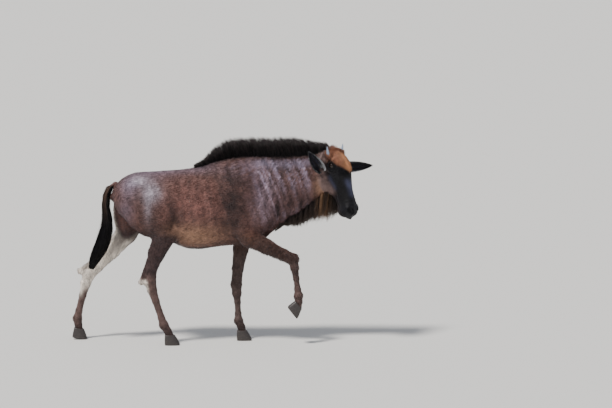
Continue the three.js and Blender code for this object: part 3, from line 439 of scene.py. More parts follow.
def add_face_lines(s, t, aside, d):
    """Crest of the cheek bone, tear gland, jaw muscle, and sine wrinkles over the nose."""
    d = d - 3.0 * ridge(t + 30 - 0.12 * (s - 100), 8) * window(s, 105, 135, 180, 230)
    gland = (s - 138) ** 2 / 18 ** 2 + (t - 2) ** 2 / 9 ** 2
    d = d - 2.0 * np.exp(-gland) * smoothstep(20, 35, aside)
    d = d + 2.2 * ridge(t + 52 - 0.2 * (s - 150), 10) * window(s, 150, 185, 230, 260)
    wrinkle = np.sin(s / 2.9 + 0.10 * aside) * 0.35
    return d + wrinkle * window(s, 262, 285, 315, 330) * smoothstep(-20, 8, t)


def head_details(points, d):
    """Changes the distance d near the head, one small form after another."""
    s, t, w = head_coordinates(points).T
    aside = np.abs(w)
    d = add_small_forms(s, t, aside, d)
    d = add_lids(s, t, aside, d)
    d = add_nostril(s, t, aside, d)
    d = add_mouth(s, t, d)
    return add_face_lines(s, t, aside, d)


# %% Lines of the body
def body_details(points, d):
    """Tendons, veins and folds: soft ridges and furrows along a few lines of the body."""
    x, y, z = points.T
    aside = np.abs(y)
    # furrow in front of the thigh, fold of the flank, furrow behind the shoulder
    flank = x + 228 - 0.42 * (z - 620)
    d = d + 4.5 * ridge(flank, 16) * window(z, 500, 600, 680, 800) * smoothstep(60, 90, aside)
    behind = x - 22 + 0.30 * (z - 700)
    d = d + 3.5 * ridge(behind, 20) * window(z, 520, 600, 800, 900) * smoothstep(60, 90, aside)
    blade = x - 205 - 0.35 * (z - 760)
    d = d + 3.0 * ridge(blade, 16) * window(z, 640, 720, 880, 950) * smoothstep(40, 70, aside)
    # ribs, barely seen
    ribs = np.sin((x + 0.25 * z) / 13.5)
    on_ribs = window(x, -190, -130, -30, 20) * window(z, 540, 620, 740, 820)
    d = d + 0.7 * ribs * on_ribs
    # long furrow of the thigh between its two muscles
    thigh = x + 415 + 0.55 * (z - 650)
    on_thigh = window(z, 540, 600, 700, 780) * smoothstep(-60, -80, y)
    return d + 3.5 * ridge(thigh, 13) * on_thigh


def skin_distance(points):
    """The body's distance, moved in by the coat's depth, with the finer forms added."""
    d = body_details(points, body_distance(points))
    s, _, w = head_coordinates(points).T
    head = (s > -40) & (np.abs(w) < 110) & (points[:, 0] > 480)
    d[head] = head_details(points[head], d[head])
    return d + coat_depth(points)


# %% [markdown]
# A net turns the field into a mesh. Space is cut into cells, and each cell that the surface crosses gets
# one point. Each cell edge that crosses the surface joins the four cells round it by a quad.
# The points then slide along the field's slope until they lie on the surface.

# %% Field values on the cells
CELL = 6.5
GRID_LOW = np.array([-775.0, -140.0, 20.0])
GRID_HIGH = np.array([725.0, 140.0, 1045.0])
NET_DEPTH = 2.5  # the first net lies this far inside the coat, near where it will settle
grid_axes = [np.arange(low, high, CELL) for low, high in zip(GRID_LOW, GRID_HIGH)]
values = np.full([len(axis) for axis in grid_axes], FAR_OUTSIDE, dtype=np.float32)
for form, low, high, blend in FORMS:
    part = tuple(
        slice(*np.searchsorted(axis, [start - blend, stop + blend]))
        for axis, start, stop in zip(grid_axes, low, high)
    )
    x, y, z = np.meshgrid(*[axis[span] for axis, span in zip(grid_axes, part)], indexing="ij", sparse=True)
    values[part] = smooth_min(values[part], form(x, y, z), blend)
values += NET_DEPTH
print("cells", values.shape)


# %% The net
def surface_net(values, low, cell):
    """Points and quads where the values change sign: a cell's point is the mean of its crossings."""
    shape = np.array(values.shape)
    inside = values < 0
    cell_lists, point_lists, quads = [], [], []
    for axis in range(3):
        second, third = (axis + 1) % 3, (axis + 2) % 3
        ahead = [slice(None)] * 3
        behind = [slice(None)] * 3
        ahead[axis], behind[axis] = slice(1, None), slice(None, -1)
        ahead, behind = tuple(ahead), tuple(behind)
        edges = np.argwhere(inside[ahead] != inside[behind])
        first_value = values[behind][tuple(edges.T)]
        next_value = values[ahead][tuple(edges.T)]
        places = edges.astype(float)
        places[:, axis] += first_value / (first_value - next_value)
        round_edge = []
        for back_second, back_third in ((0, 0), (1, 0), (1, 1), (0, 1)):
            cells = edges.copy()
            cells[:, second] -= back_second
            cells[:, third] -= back_third
            numbers = np.ravel_multi_index(tuple(cells.T), shape)
            cell_lists.append(numbers)
            point_lists.append(places)
            round_edge.append(numbers)
        ring = np.stack(round_edge, axis=1)
        ring[first_value >= 0] = ring[first_value >= 0][:, ::-1]
        quads.append(ring)
    numbers = np.concatenate(cell_lists)
    places = np.concatenate(point_lists)
    kept, inverse = np.unique(numbers, return_inverse=True)
    count = np.bincount(inverse)
    points = np.stack([np.bincount(inverse, places[:, k]) / count for k in range(3)], axis=1)
    return points * cell + low, np.searchsorted(kept, np.concatenate(quads))


def slope_of(field, points, step=0.8):
    """The field's slope by small steps each way along x, y and z."""
    parts = []
    for axis in range(3):
        move = np.zeros(3)
        move[axis] = step
        parts.append((field(points + move) - field(points - move)) / (2 * step))
    return np.stack(parts, axis=1)


def settle(field, points, rounds, most):
    """Moves points down the field's slope onto its zero surface, by at most so much a round."""
    for _ in range(rounds):
        slope = slope_of(field, points)
        steep = np.maximum((slope ** 2).sum(axis=1), 0.09)
        step = np.clip(field(points) / steep, -most, most)
        points = points - slope * step[:, None]
    return points


net_points, net_quads = surface_net(values, GRID_LOW, CELL)
del values
net_points = settle(skin_distance, net_points, 3, 4.0)
print("net", len(net_points), "points", len(net_quads), "quads")


# %% Make meshes from arrays
def to_frame(points):
    """Millimetres in the animal's own frame to metres in the solids' frame."""
    return (points + SHIFT) / 1000


def set_points(mesh, points):
    """Writes points in millimetres into a mesh."""
    mesh.vertices.foreach_set("co", to_frame(points).astype(np.float32).ravel())


def mesh_points(mesh):
    """The mesh's points, back in millimetres in the animal's own frame."""
    points = np.empty(len(mesh.vertices) * 3, dtype=np.float32)
    mesh.vertices.foreach_get("co", points)
    return points.reshape(-1, 3).astype(float) * 1000 - SHIFT


def smooth_faces(mesh):
    """Shades every face smoothly."""
    mesh.polygons.foreach_set("use_smooth", np.ones(len(mesh.polygons), dtype=bool))


def mesh_from(name, points, faces):
    """A mesh from points in millimetres and an array of faces with equal numbers of corners."""
    mesh = bpy.data.meshes.new(name)
    corners = faces.shape[1]
    mesh.vertices.add(len(points))
    set_points(mesh, points)
    mesh.loops.add(faces.size)
    mesh.loops.foreach_set("vertex_index", faces.astype(np.int32).ravel())
    mesh.polygons.add(len(faces))
    mesh.polygons.foreach_set("loop_start", np.arange(0, faces.size, corners, dtype=np.int32))
    smooth_faces(mesh)
    mesh.update(calc_edges=True)
    mesh.validate()
    return mesh


def place(name, mesh, material, slot, *nodes):
    """Puts a mesh in the scene at the origin, on the one body, with its finish and what it replaces."""
    piece = bpy.data.objects.new(name, mesh)
    bpy.context.scene.collection.objects.link(piece)
    mesh.materials.clear()
    mesh.materials.append(material)
    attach(piece, "root")
    if nodes:
        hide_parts(*nodes)
    print(name, len(mesh.polygons), "faces")
    return piece


def add_colours(mesh, colours):
    """A colour for each point, kept in the attribute that the coat's materials read."""
    layer = mesh.attributes.new("coat_colour", "FLOAT_COLOR", "POINT")
    rgba = np.ones((len(colours), 4), dtype=np.float32)
    rgba[:, :3] = colours
    layer.data.foreach_set("color", rgba.ravel())


# %% [markdown]
# The markings are one function of place, used for the skin and for every hair, so the two always agree.
# It starts from the umber of the trunk and lays soft patches over it, some of them painted sheen and
# painted shade, as a taxidermist airbrushes a mount.

# %% Colours of the coat
def linear(red, green, blue):
    """A colour from 0 to 255 as a screen shows it, as the linear light that a shader needs."""
    share = np.array([red, green, blue]) / 255.0
    return np.where(share <= 0.04045, share / 12.92, ((share + 0.055) / 1.055) ** 2.4)


UMBER = linear(98, 70, 64)
RED_BROWN = linear(134, 92, 84)
DARK_BROWN = linear(34, 24, 24)
# painted sheen and painted highlight: the coat's silvery shine, laid into its colour
SHEEN_LAVENDER = linear(178, 170, 200)
HIGHLIGHT_SILVER = linear(236, 232, 250)
TAN = linear(164, 126, 102)
BLACK = linear(10, 9, 12)
NECK_GREY = linear(134, 106, 108)
RUST = linear(142, 96, 74)
ORANGE = linear(216, 160, 116)
CREAM = linear(222, 212, 200)
LEG_GREY = linear(90, 74, 70)
CHEEK = linear(112, 92, 88)
MUZZLE = linear(16, 15, 20)
# painted highlight along the ridges of the nose and the cheek
RIDGE_HIGHLIGHT = linear(96, 100, 132)
FOREARM = linear(74, 55, 49)
GASKIN = linear(60, 46, 46)
# painted shade inside the nostrils
NOSTRIL_SHADE = linear(3, 3, 4)


def spot(points, middle, half):
    """1 at a soft spot's middle, falling off as a bell over its half lengths."""
    offset = (points - np.array(middle)) / np.array(half)
    return np.exp(-(offset ** 2).sum(axis=1))


def ripple(points, sizes, seed):
    """An uneven pattern from -1 to 1: the mean of sine waves in seeded directions and sizes."""
    random = np.random.default_rng(seed)
    total = np.zeros(len(points))
    for size in sizes:
        direction = random.normal(size=3)
        direction /= np.linalg.norm(direction)
        total += np.sin(points @ direction / size * 2 * np.pi + random.uniform(0, 6.28))
    return total / len(sizes)


def both_sides(points, middle, half):
    """The same soft spot on both sides of the animal."""
    return spot(points, middle, half) + spot(points, (middle[0], -middle[1], middle[2]), half)


def neck_mask(points):
    """1 on the neck: by x and z, less what lies on the head's side of the throat."""
    x, _, z = points.T
    s, t, _ = head_coordinates(points).T
    on_face = smoothstep(-70, -30, ahead_of_throat(s, t)) * smoothstep(-40, -10, s)
    return smoothstep(150, 240, x) * (1 - on_face * smoothstep(450, 490, x)) * smoothstep(590, 650, z)


def head_mask(points):
    """1 on the head: past the poll, in front of the throat and well forward."""
    x, _, z = points.T
    s, t, _ = head_coordinates(points).T
    return smoothstep(-30, 0, s) * smoothstep(-112, -96, t) * smoothstep(470, 520, x) * (z > 600)


# %% Markings of the trunk, each a colour and a mask
def trunk_markings(points, wave, fine, streak):
    """Reddish flank, dark patches, tan low flank, painted shade in the flank fold, under the belly and low
    on the near thigh, and painted silvery sheen on the back.
    """
    x, _, z = points.T
    yield RED_BROWN, 0.8 * both_sides(points, (-130, 120, 730), (130, 80, 130))
    yield DARK_BROWN, 0.92 * both_sides(points, (62, 120, 740), (64, 80, 190)) + 0.34 * wave * (z > 500)
    # painted shade in the fold in front of the thigh
    yield DARK_BROWN, 0.75 * both_sides(points, (-232, 115, 640), (34, 60, 120))
    yield TAN, 0.95 * both_sides(points, (-130, 90, 560), (140, 90, 56))
    # painted shade along the underside of the belly
    yield DARK_BROWN, 0.9 * smoothstep(506, 482, z) * window(x, -300, -200, 100, 300)
    # painted sheen and painted highlight on the croup, the haunch, the back and the shoulder
    yield SHEEN_LAVENDER, 0.22 * spot(points, (-400, 0, 875), (170, 110, 42))
    haunch_sheen = 0.28 * both_sides(points, (-450, 95, 810), (46, 60, 50))
    yield SHEEN_LAVENDER, haunch_sheen + 0.16 * both_sides(points, (-470, 95, 690), (40, 50, 70))
    haunch_sheen = 0.42 * both_sides(points, (-340, 115, 778), (46, 60, 50)) * (0.9 + 0.4 * streak)
    yield HIGHLIGHT_SILVER, haunch_sheen + 0.26 * both_sides(points, (-400, 100, 838), (46, 60, 24))
    yield HIGHLIGHT_SILVER, 0.20 * both_sides(points, (-358, 110, 700), (20, 50, 70))
    yield SHEEN_LAVENDER, 0.16 * smoothstep(850, 895, z) * window(x, -420, -350, -120, 60)
    yield SHEEN_LAVENDER, 0.24 * both_sides(points, (170, 80, 905), (120, 60, 50)) * (0.6 + 0.8 * fine)
    yield SHEEN_LAVENDER, 0.30 * both_sides(points, (225, 85, 770), (60, 50, 130)) * (0.7 + 0.8 * streak)
    # painted shade low on the near thigh
    yield DARK_BROWN, 0.65 * spot(points, (-330, -110, 600), (60, 60, 80))


# %% Markings of the neck
def neck_markings(points, wave, fine, streak):
    """Dark bars, each a sine of x that waves, with painted silvery sheen in streaks between them and a
    black crest.
    """
    x, y, z = points.T
    throat_front = head_coordinates(points)[:, 1]
    on_neck = neck_mask(points)
    bars = np.sin((x + 0.32 * (z - 760) + 26 * wave + 7 * fine) / 8.6)
    bars = 0.6 * bars + 0.5 * np.sin((x + 0.18 * (z - 760) - 20 * wave) / 4.1)
    yield NECK_GREY, on_neck * (0.35 + 0.5 * streak) * smoothstep(960, 860, z)
    # painted sheen in silvery streaks, stronger higher up the neck
    sheen_higher_up = 0.35 + 0.65 * smoothstep(740, 880, z)
    yield SHEEN_LAVENDER, 0.50 * on_neck * smoothstep(0.15, 0.6, streak) * sheen_higher_up
    yield DARK_BROWN, 0.9 * on_neck * smoothstep(-0.05, -0.5, streak) * clip01(0.8 + 0.5 * wave)
    yield DARK_BROWN, 0.55 * on_neck * smoothstep(0.35, 0.9, bars)
    yield DARK_BROWN, 0.5 * both_sides(points, (335, 60, 900), (50, 50, 40))
    faint = smoothstep(0.3, 0.9, np.sin((x + 0.2 * (z - 760) + 18 * wave) / 8.4))
    yield DARK_BROWN, 0.35 * faint * window(x, -260, -200, 120, 200) * smoothstep(560, 640, z)
    yield TAN, 0.8 * both_sides(points, (520, 60, 800), (40, 60, 66)) * smoothstep(-72, -96, throat_front)
    top, middle = (profile(TRUNK, column, x) for column in (1, 5))
    # painted sheen in a band just under the crest
    yield SHEEN_LAVENDER, 0.22 * window(z - top, -80, -50, -40, -18) * window(x, 120, 220, 500, 560)
    on_crest = smoothstep(top - 44, top - 14, z) * smoothstep(-150, -80, x) * (x < 560)
    yield BLACK, ridge(y - middle, 30) * on_crest


# %% Markings of the legs and the dock
def leg_markings(points):
    """Greyer shins, dark forearms and gaskins, cream inside the far thigh and behind both hocks."""
    x, y, z = points.T
    yield LEG_GREY, 0.75 * smoothstep(500, 420, z)
    fore = (x > -120) * np.maximum(smoothstep(480, 462, z), smoothstep(45, 95, x))
    yield FOREARM, 0.8 * fore * window(z, 400, 470, 540, 600)
    yield RUST, 0.55 * spot(points, (150, -88, 560), (34, 40, 40))
    hind = smoothstep(-180, -230, x)
    yield GASKIN, 0.9 * hind * window(z, 330, 380, 540, 600)
    inner = smoothstep(4, -14, np.abs(y) - 86) * hind * window(z, 230, 300, 640, 690)
    behind_flank = smoothstep(-400, -440, x - 0.6 * (z - 560))
    yield CREAM, 0.92 * inner * smoothstep(40, 62, np.abs(y)) * behind_flank * (y > 0)
    rear_far = smoothstep(-690, -712, x) * window(z, 200, 260, 360, 420)
    rear_near = smoothstep(-352, -372, x + 0.1 * (z - 300)) * window(z, 220, 260, 320, 345)
    yield CREAM, 0.8 * np.maximum(rear_far, rear_near * (y < 0))
    yield DARK_BROWN, 0.55 * smoothstep(110, 70, z)
    yield BLACK, smoothstep(-545, -560, x) * (z > 500) * (np.abs(y) < 40)


# %% Markings of the head
def head_markings(points, fine):
    """Black face, rusty brow with an orange patch, painted highlights on nose and cheek, painted shade
    round the eye, black lids, nostrils painted as shade.
    """
    s, t, w = head_coordinates(points).T
    aside = np.abs(w)
    on_head = head_mask(points)
    on_face = np.stack([s, t, w], axis=1)
    brow = s + 1.15 * aside + 5 * fine
    yield CHEEK, on_head
    yield BLACK, on_head * smoothstep(-62, -26, t) * smoothstep(40, 70, s)
    yield BLACK, 0.9 * on_head * smoothstep(205, 240, s)
    yield RUST, on_head * smoothstep(-8, 8, s) * smoothstep(156, 136, brow) * smoothstep(-34, 0, t)
    yield ORANGE, 0.85 * on_head * spot(on_face, (106, 50, 6), (34, 30, 34)) * smoothstep(156, 138, brow)
    yield ORANGE, 0.55 * on_head * spot(on_face, (50, 40, 10), (30, 30, 30))
    # painted shade in the hollow round the eye
    yield DARK_BROWN, 0.9 * on_head * spot(np.stack([s, t, aside], axis=1), (84, -10, 62), (30, 22, 20))
    # painted highlight along the ridges of the nose and the cheek
    yield RIDGE_HIGHLIGHT, 0.45 * on_head * ridge(t - 36, 12) * window(s, 160, 200, 250, 285)
    yield RIDGE_HIGHLIGHT, 0.35 * on_head * ridge(t + 36, 11) * window(s, 120, 150, 185, 220)
    yield MUZZLE, 0.7 * on_head * smoothstep(280, 305, s) * smoothstep(-50, -34, t)
    lids = np.hypot((s - EYE[0]) / 30, (t - EYE[1]) / 24)
    yield BLACK, 0.95 * on_head * smoothstep(1.25, 0.8, lids) * smoothstep(30, 40, aside)
    # painted shade inside the nostril's hole
    yield NOSTRIL_SHADE, on_head * smoothstep(2.5, -0.5, nostril_form(s, t, aside, (14, 7, 14)))


# %% The coat's colour
def coat_colours(points):
    """The coat's colour at each place, painted sheen and painted shade included: umber, with each marking
    mixed in by its mask, in turn.

    The whole is then made lighter and darker by fine ripples, by clumps and by slanting streaks.
    """
    x, y, z = points.T
    wave = ripple(points, [190, 120, 85, 61], 3)
    fine = ripple(points, [37, 23, 29, 17, 44], 4)
    slanted = np.stack([x + 0.30 * (z - 760), 0.4 * y, 0.12 * z], axis=1)
    streak = ripple(slanted, [16, 11, 24, 33, 19], 8)
    colour = np.tile(UMBER, (len(points), 1))
    trunk = trunk_markings(points, wave, fine, streak)
    neck = neck_markings(points, wave, fine, streak)
    for paint, mask in chain(trunk, neck, leg_markings(points), head_markings(points, fine)):
        colour = mix(colour, paint, clip01(mask)[:, None])
    clump = ripple(points * (1, 1, 0.45), [9, 13, 16, 11, 7], 6)
    clump = (0.30 - 0.20 * neck_mask(points)) * (1 - 0.7 * head_mask(points)) * clump
    light = 1 + (0.16 * fine + clump + 0.12 * streak) * smoothstep(40, 90, z)
    return np.clip(colour * light[:, None], 0.001, 1.0)


# %% [markdown]
# The map for baking unrolls the skin by parts: the trunk and neck round a line along x, the head round
# the face's line and each leg round its own bones. A hair takes the place of its root on that map.

# %% The unrolled skin
MAP_PATCH = 0.003  # width of the place that one strand takes on the map


def map_places(points):
    """Two numbers from 0 to 1 for each point: how far along its part, and how far round it."""
    x, y, z = points.T
    s, t, w = head_coordinates(points).T
    middle = profile(TRUNK, 4, x)
    around = np.arctan2(y - profile(TRUNK, 5, x), z - middle) / (2 * np.pi) + 0.5
    u = 0.02 + 0.96 * clip01((x + 560) / 1160)
    v = 0.52 + 0.46 * around
    head = (s > -20) & (ahead_of_throat(s, t) > -34) & (x > 470)
    u = np.where(head, 0.02 + 0.96 * clip01((s + 20) / 400), u)
    v = np.where(head, 0.30 + 0.20 * (np.arctan2(w, t + 40) / (2 * np.pi) + 0.5), v)
    for index, joints in enumerate(LEGS.values()):
        table = np.array(joints, dtype=float)
        order = np.argsort(table[:, 2])
        leg_x = np.interp(z, table[order, 2], table[order, 0])
        leg_y = np.interp(z, table[order, 2], table[order, 1])
        on_leg = (z < 500) & (np.hypot(x - leg_x, y - leg_y) < 130) & (y * table[0, 1] > 0)
        turn = np.arctan2(y - leg_y, x - leg_x) / (2 * np.pi) + 0.5
        u = np.where(on_leg, 0.02 + 0.24 * index + 0.22 * clip01(z / 500), u)
        v = np.where(on_leg, 0.02 + 0.26 * turn, v)
    return np.stack([u, v], axis=1)


def add_map(mesh, corner_places):
    """Writes the map for baking, one place for each face corner."""
    layer = mesh.uv_layers.new(name="OFBake")
    layer.data.foreach_set("uv", corner_places.astype(np.float32).ravel())


# %% [markdown]
# Materials come next. A nature film's wildebeest looks silvery from one side and umber from the other,
# because short hair shines along its own length. The broad shine is laid into the markings above, and the
# shader's sheen adds a little soft edge light. Two noise patterns, one fine and drawn out and one broad,
# break the colour into hairs and clumps.

# %% Helpers for materials
def new_material(name, **values):
    """A material, its node tree and its Principled shader, with values set on the shader's own sockets."""
    material = bpy.data.materials.new(name)
    material.use_nodes = True
    tree = material.node_tree
    shader = tree.nodes["Principled BSDF"]
    for key, value in values.items():
        shader.inputs[key.replace("_", " ")].default_value = value
    return material, tree, shader


def add_node(tree, kind, **settings):
    """A node of a kind: settings are its properties, or its inputs where the name is an input's."""
    node = tree.nodes.new(kind)
    for key, value in settings.items():
        if hasattr(node, key):
            setattr(node, key, value)
        else:
            node.inputs[key.replace("_", " ")].default_value = value
    return node


def join(tree, *joints):
    """Joins nodes: each joint is a node and its output, then a node and its input."""
    for source, output, target, socket in joints:
        tree.links.new(source.outputs[output], target.inputs[socket])


# %% The hair pattern
def build_hair_pattern():
    """A group on object coordinates: the mask is 1 plus the strength times fine and broad noise."""
    group = bpy.data.node_groups.new("hair pattern", "ShaderNodeTree")
    for label, default in (("Fine scale", 900.0), ("Broad scale", 28.0), ("Strength", 0.35)):
        socket = group.interface.new_socket(name=label, in_out="INPUT", socket_type="NodeSocketFloat")
        socket.default_value = default
    for label in ("Mask", "Height"):
        group.interface.new_socket(name=label, in_out="OUTPUT", socket_type="NodeSocketFloat")
    start = add_node(group, "NodeGroupInput")
    end = add_node(group, "NodeGroupOutput")
    place_node = add_node(group, "ShaderNodeTexCoord")
    stretch = add_node(group, "ShaderNodeMapping", Scale=(0.28, 1.0, 0.7))
    fine = add_node(group, "ShaderNodeTexNoise", Detail=3.0)
    broad = add_node(group, "ShaderNodeTexNoise", Detail=4.0, Roughness=0.6)
    fine_range = add_node(group, "ShaderNodeMapRange", From_Min=0.3, From_Max=0.7)
    broad_range = add_node(group, "ShaderNodeMapRange", From_Min=0.3, From_Max=0.7)
    both = add_node(group, "ShaderNodeMath", operation="ADD")
    centre = add_node(group, "ShaderNodeMath", operation="SUBTRACT")
    centre.inputs[1].default_value = 1.0
    scaled = add_node(group, "ShaderNodeMath", operation="MULTIPLY_ADD")
    scaled.inputs[2].default_value = 1.0
    join(
        group,
        (place_node, "Object", stretch, "Vector"),
        (stretch, "Vector", fine, "Vector"),
        (place_node, "Object", broad, "Vector"),
        (start, "Fine scale", fine, "Scale"),
        (start, "Broad scale", broad, "Scale"),
        (fine, "Fac", fine_range, "Value"),
        (broad, "Fac", broad_range, "Value"),
        (fine_range, "Result", both, 0),
        (broad_range, "Result", both, 1),
        (both, "Value", centre, 0),
        (centre, "Value", scaled, 0),
        (start, "Strength", scaled, 1),
        (scaled, "Value", end, "Mask"),
        (fine_range, "Result", end, "Height"),
    )
    return group


hair_pattern = build_hair_pattern()
print("hair pattern", len(hair_pattern.nodes), "nodes")


def hair_material(name, roughness, sheen, tint, strength, bump):
    """The attribute's colour times the hair pattern, with sheen and a fine bump."""
    material, tree, shader = new_material(
        name, Roughness=roughness, Sheen_Weight=sheen, Sheen_Roughness=0.4, Sheen_Tint=(*tint, 1.0),
        Specular_IOR_Level=0.18,
    )
    colour = add_node(tree, "ShaderNodeAttribute", attribute_name="coat_colour")
    pattern = add_node(tree, "ShaderNodeGroup", node_tree=hair_pattern)
    for label, value in (("Fine scale", 700.0), ("Broad scale", 26.0), ("Strength", strength)):
        pattern.inputs[label].default_value = value
    tone = add_node(tree, "ShaderNodeMix", data_type="RGBA", blend_type="MULTIPLY", Factor=1.0)
    height = add_node(tree, "ShaderNodeBump", Strength=bump, Distance=0.0012)
    join(
        tree,
        (colour, "Color", tone, "A"),
        (pattern, "Mask", tone, "B"),
        (tone, "Result", shader, "Base Color"),
        (pattern, "Height", height, "Height"),
        (height, "Normal", shader, "Normal"),
    )
    return material


COOL_TINT, WARM_TINT = (0.82, 0.84, 1.0), (0.9, 0.85, 0.8)
skin_material = hair_material("short coat over skin", 0.50, 0.06, COOL_TINT, 0.55, 0.6)
tuft_material = hair_material("coat hair", 0.42, 0.10, COOL_TINT, 0.45, 0.15)
long_material = hair_material("long black hair", 0.40, 0.05, WARM_TINT, 0.3, 0.2)

# %% The skin piece
skin_mesh = mesh_from("skin", net_points, net_quads)


def refine(mesh, wanted):
    """Halves the edges of faces whose middle is wanted, and settles the new points on the skin."""
    middles = np.empty(len(mesh.polygons) * 3, dtype=np.float32)
    mesh.polygons.foreach_get("center", middles)
    chosen = wanted(middles.reshape(-1, 3).astype(float) * 1000 - SHIFT)
    work = bmesh.new()
    work.from_mesh(mesh)
    edges = {edge for face, use in zip(work.faces, chosen) if use for edge in face.edges}
    bmesh.ops.subdivide_edges(work, edges=list(edges), cuts=1, use_grid_fill=True)
    work.to_mesh(mesh)
    work.free()
    points = mesh_points(mesh)
    near = wanted(points)
    points[near] = settle(skin_distance, points[near], 2, 1.5)
    set_points(mesh, points)
    mesh.update()


def on_the_head(points):
    """Points in front of the neck."""
    s, t, w = head_coordinates(points).T
    return (s > -16) & (ahead_of_throat(s, t) > -30) & (points[:, 0] > 490) & (np.abs(w) < 90)


def on_fine_parts(points):
    """Points round the eyes, the nostrils and the mouth."""
    s, t, w = head_coordinates(points).T
    eye = np.hypot(s - EYE[0], t - EYE[1]) < 34
    muzzle = (s > 228) & (t < 10)
    return on_the_head(points) & ((eye & (np.abs(w) > 38)) | muzzle)


refine(skin_mesh, on_the_head)
refine(skin_mesh, on_fine_parts)
smooth_faces(skin_mesh)
skin_points = mesh_points(skin_mesh)
add_colours(skin_mesh, coat_colours(skin_points))
flesh = ["torso", "neck", "head"]
flesh += [f"{part}_{name}" for part in ("upper", "lower") for name in LEGS]
place("skin", skin_mesh, skin_material, "coat", *flesh)

# %% [markdown]
# Hair is real geometry: each tuft is a thin spike with three sides that leaves the skin at a low angle
# and follows the lie of the coat. Particle hair would be quicker to add, but it isn't solid, so it would
# be lost when the model is exported. Joined spikes from arrays are as fast and stay.

# %% The lie of the coat
def lie_directions(points, normals):
    """The way the hair points: back along the trunk, down the legs and neck, up from the nose."""
    x, _, z = points.T
    s, _, w = head_coordinates(points).T
    lie = np.tile(np.array([-1.0, 0.0, -0.28]), (len(points), 1))
    down = smoothstep(560, 470, z)[:, None]
    lie = mix(lie, np.array([-0.18, 0.0, -1.0]), down)
    neck = (smoothstep(150, 260, x) * smoothstep(560, 640, z))[:, None]
    lie = mix(lie, np.array([-0.62, 0.0, -0.8]), neck)
    rump = (smoothstep(-440, -520, x) * smoothstep(600, 700, z))[:, None]
    lie = mix(lie, np.array([-0.5, 0.0, -1.0]), rump)
    head = on_the_head(points)[:, None]
    upward = -FACE_AXIS + 0.35 * np.sign(w)[:, None] * HEAD_LEFT
    forehead = smoothstep(130, 100, s)[:, None]
    lie = np.where(head, mix(upward, FACE_AXIS + 0.25 * np.sign(w)[:, None] * HEAD_LEFT, forehead), lie)
    swirl = np.stack([ripple(points, [150, 90, 60], seed) for seed in (31, 32, 33)], axis=1)
    lie = lie + 0.28 * swirl
    return unit(lie - normals * (lie * normals).sum(axis=1, keepdims=True))


# %% Strands from arrays
THIRDS_OF_A_TURN = (0.0, 2.094, 4.189)  # radians
STRAND_FLATNESS = 0.6  # how thick a strand is as a share of its width
TIP_FADE = 1.5         # the power by which a strand's colour turns to its tip's
MAP_TURN = 2.4         # radians between the places of a strand's points on the map for baking


def strand_mesh(name, paths, radii, widths, colours, roots, tip_colours=None):
    """Three-sided tapering spikes along paths.

    paths has the points of each strand from root to tip, radii its thickness at each point but the tip,
    and widths the direction across each strand. Colours run from the root's to the tip's.
    """
    count, rings = paths.shape[0], paths.shape[1]
    heading = unit(np.gradient(paths, axis=1))
    across = unit(widths[:, None, :] - heading * (heading * widths[:, None, :]).sum(axis=2, keepdims=True))
    third = np.cross(heading, across)
    corners = []
    for turn in THIRDS_OF_A_TURN:
        offset = across * math.cos(turn) + third * math.sin(turn) * STRAND_FLATNESS
        offset = offset * radii[:, :, None]
        corners.append((paths + offset)[:, :-1])
    body = np.stack(corners, axis=2).reshape(count, -1, 3)
    points = np.concatenate([body, paths[:, -1:]], axis=1)
    per = points.shape[1]
    triangles = []
    for level in range(rings - 2):
        for k in range(3):
            a, b = level * 3 + k, level * 3 + (k + 1) % 3
            triangles += [(a, b, b + 3), (a, b + 3, a + 3)]
    last = (rings - 2) * 3
    triangles += [(last + k, last + (k + 1) % 3, per - 1) for k in range(3)]
    triangles = np.array(triangles)
    faces = (triangles[None] + (np.arange(count) * per)[:, None, None]).reshape(-1, 3)
    mesh = mesh_from(name, points.reshape(-1, 3), faces)
    share = np.append(np.repeat(np.linspace(0, 1, rings)[:-1], 3), 1.0)
    tips = colours if tip_colours is None else tip_colours
    blended = mix(colours[:, None, :], tips[:, None, :], (share ** TIP_FADE)[None, :, None])
    add_colours(mesh, blended.reshape(-1, 3))
    turned = np.arange(per) * MAP_TURN
    round_root = np.stack([np.cos(turned), np.sin(turned)], axis=1) * MAP_PATCH / 2
    place_of_point = (map_places(roots)[:, None, :] + round_root[None]).reshape(-1, 2)
    add_map(mesh, place_of_point[faces.ravel()])
    return mesh


def curved_paths(roots, start, lie, length, rings):
    """Points along strands that set out along start and turn evenly towards lie."""
    place_now = roots.copy()
    places = [place_now]
    for step in range(1, rings):
        share = step / (rings - 1)
        heading = unit(mix(start, lie, share))
        place_now = place_now + heading * (length / (rings - 1))[:, None]
        places.append(place_now)
    return np.stack(places, axis=1)


def strand_radii(random, root, tip, rings, count):
    """A thickness for each ring of each strand: even from root to tip, times the strand's own factor."""
    return np.linspace(root, tip, rings)[None, :] * random.uniform(0.7, 1.2, count)[:, None]


# %% Roots spread over the skin
triangulated = bmesh.new()
triangulated.from_mesh(skin_mesh)
bmesh.ops.triangulate(triangulated, faces=triangulated.faces[:])
triangle_mesh = bpy.data.meshes.new("skin triangles")
triangulated.to_mesh(triangle_mesh)
triangulated.free()
face_corners = np.empty(len(triangle_mesh.loops), dtype=np.int32)
triangle_mesh.loops.foreach_get("vertex_index", face_corners)
face_corners = face_corners.reshape(-1, 3)
bpy.data.meshes.remove(triangle_mesh)
face_a, face_b, face_c = (skin_points[face_corners[:, k]] for k in range(3))
face_cross = np.cross(face_b - face_a, face_c - face_a)
face_area = np.linalg.norm(face_cross, axis=1) / 2
face_normal = unit(face_cross)
face_middle = (face_a + face_b + face_c) / 3
print("skin area", round(face_area.sum() / 1e6, 3), "square metres")


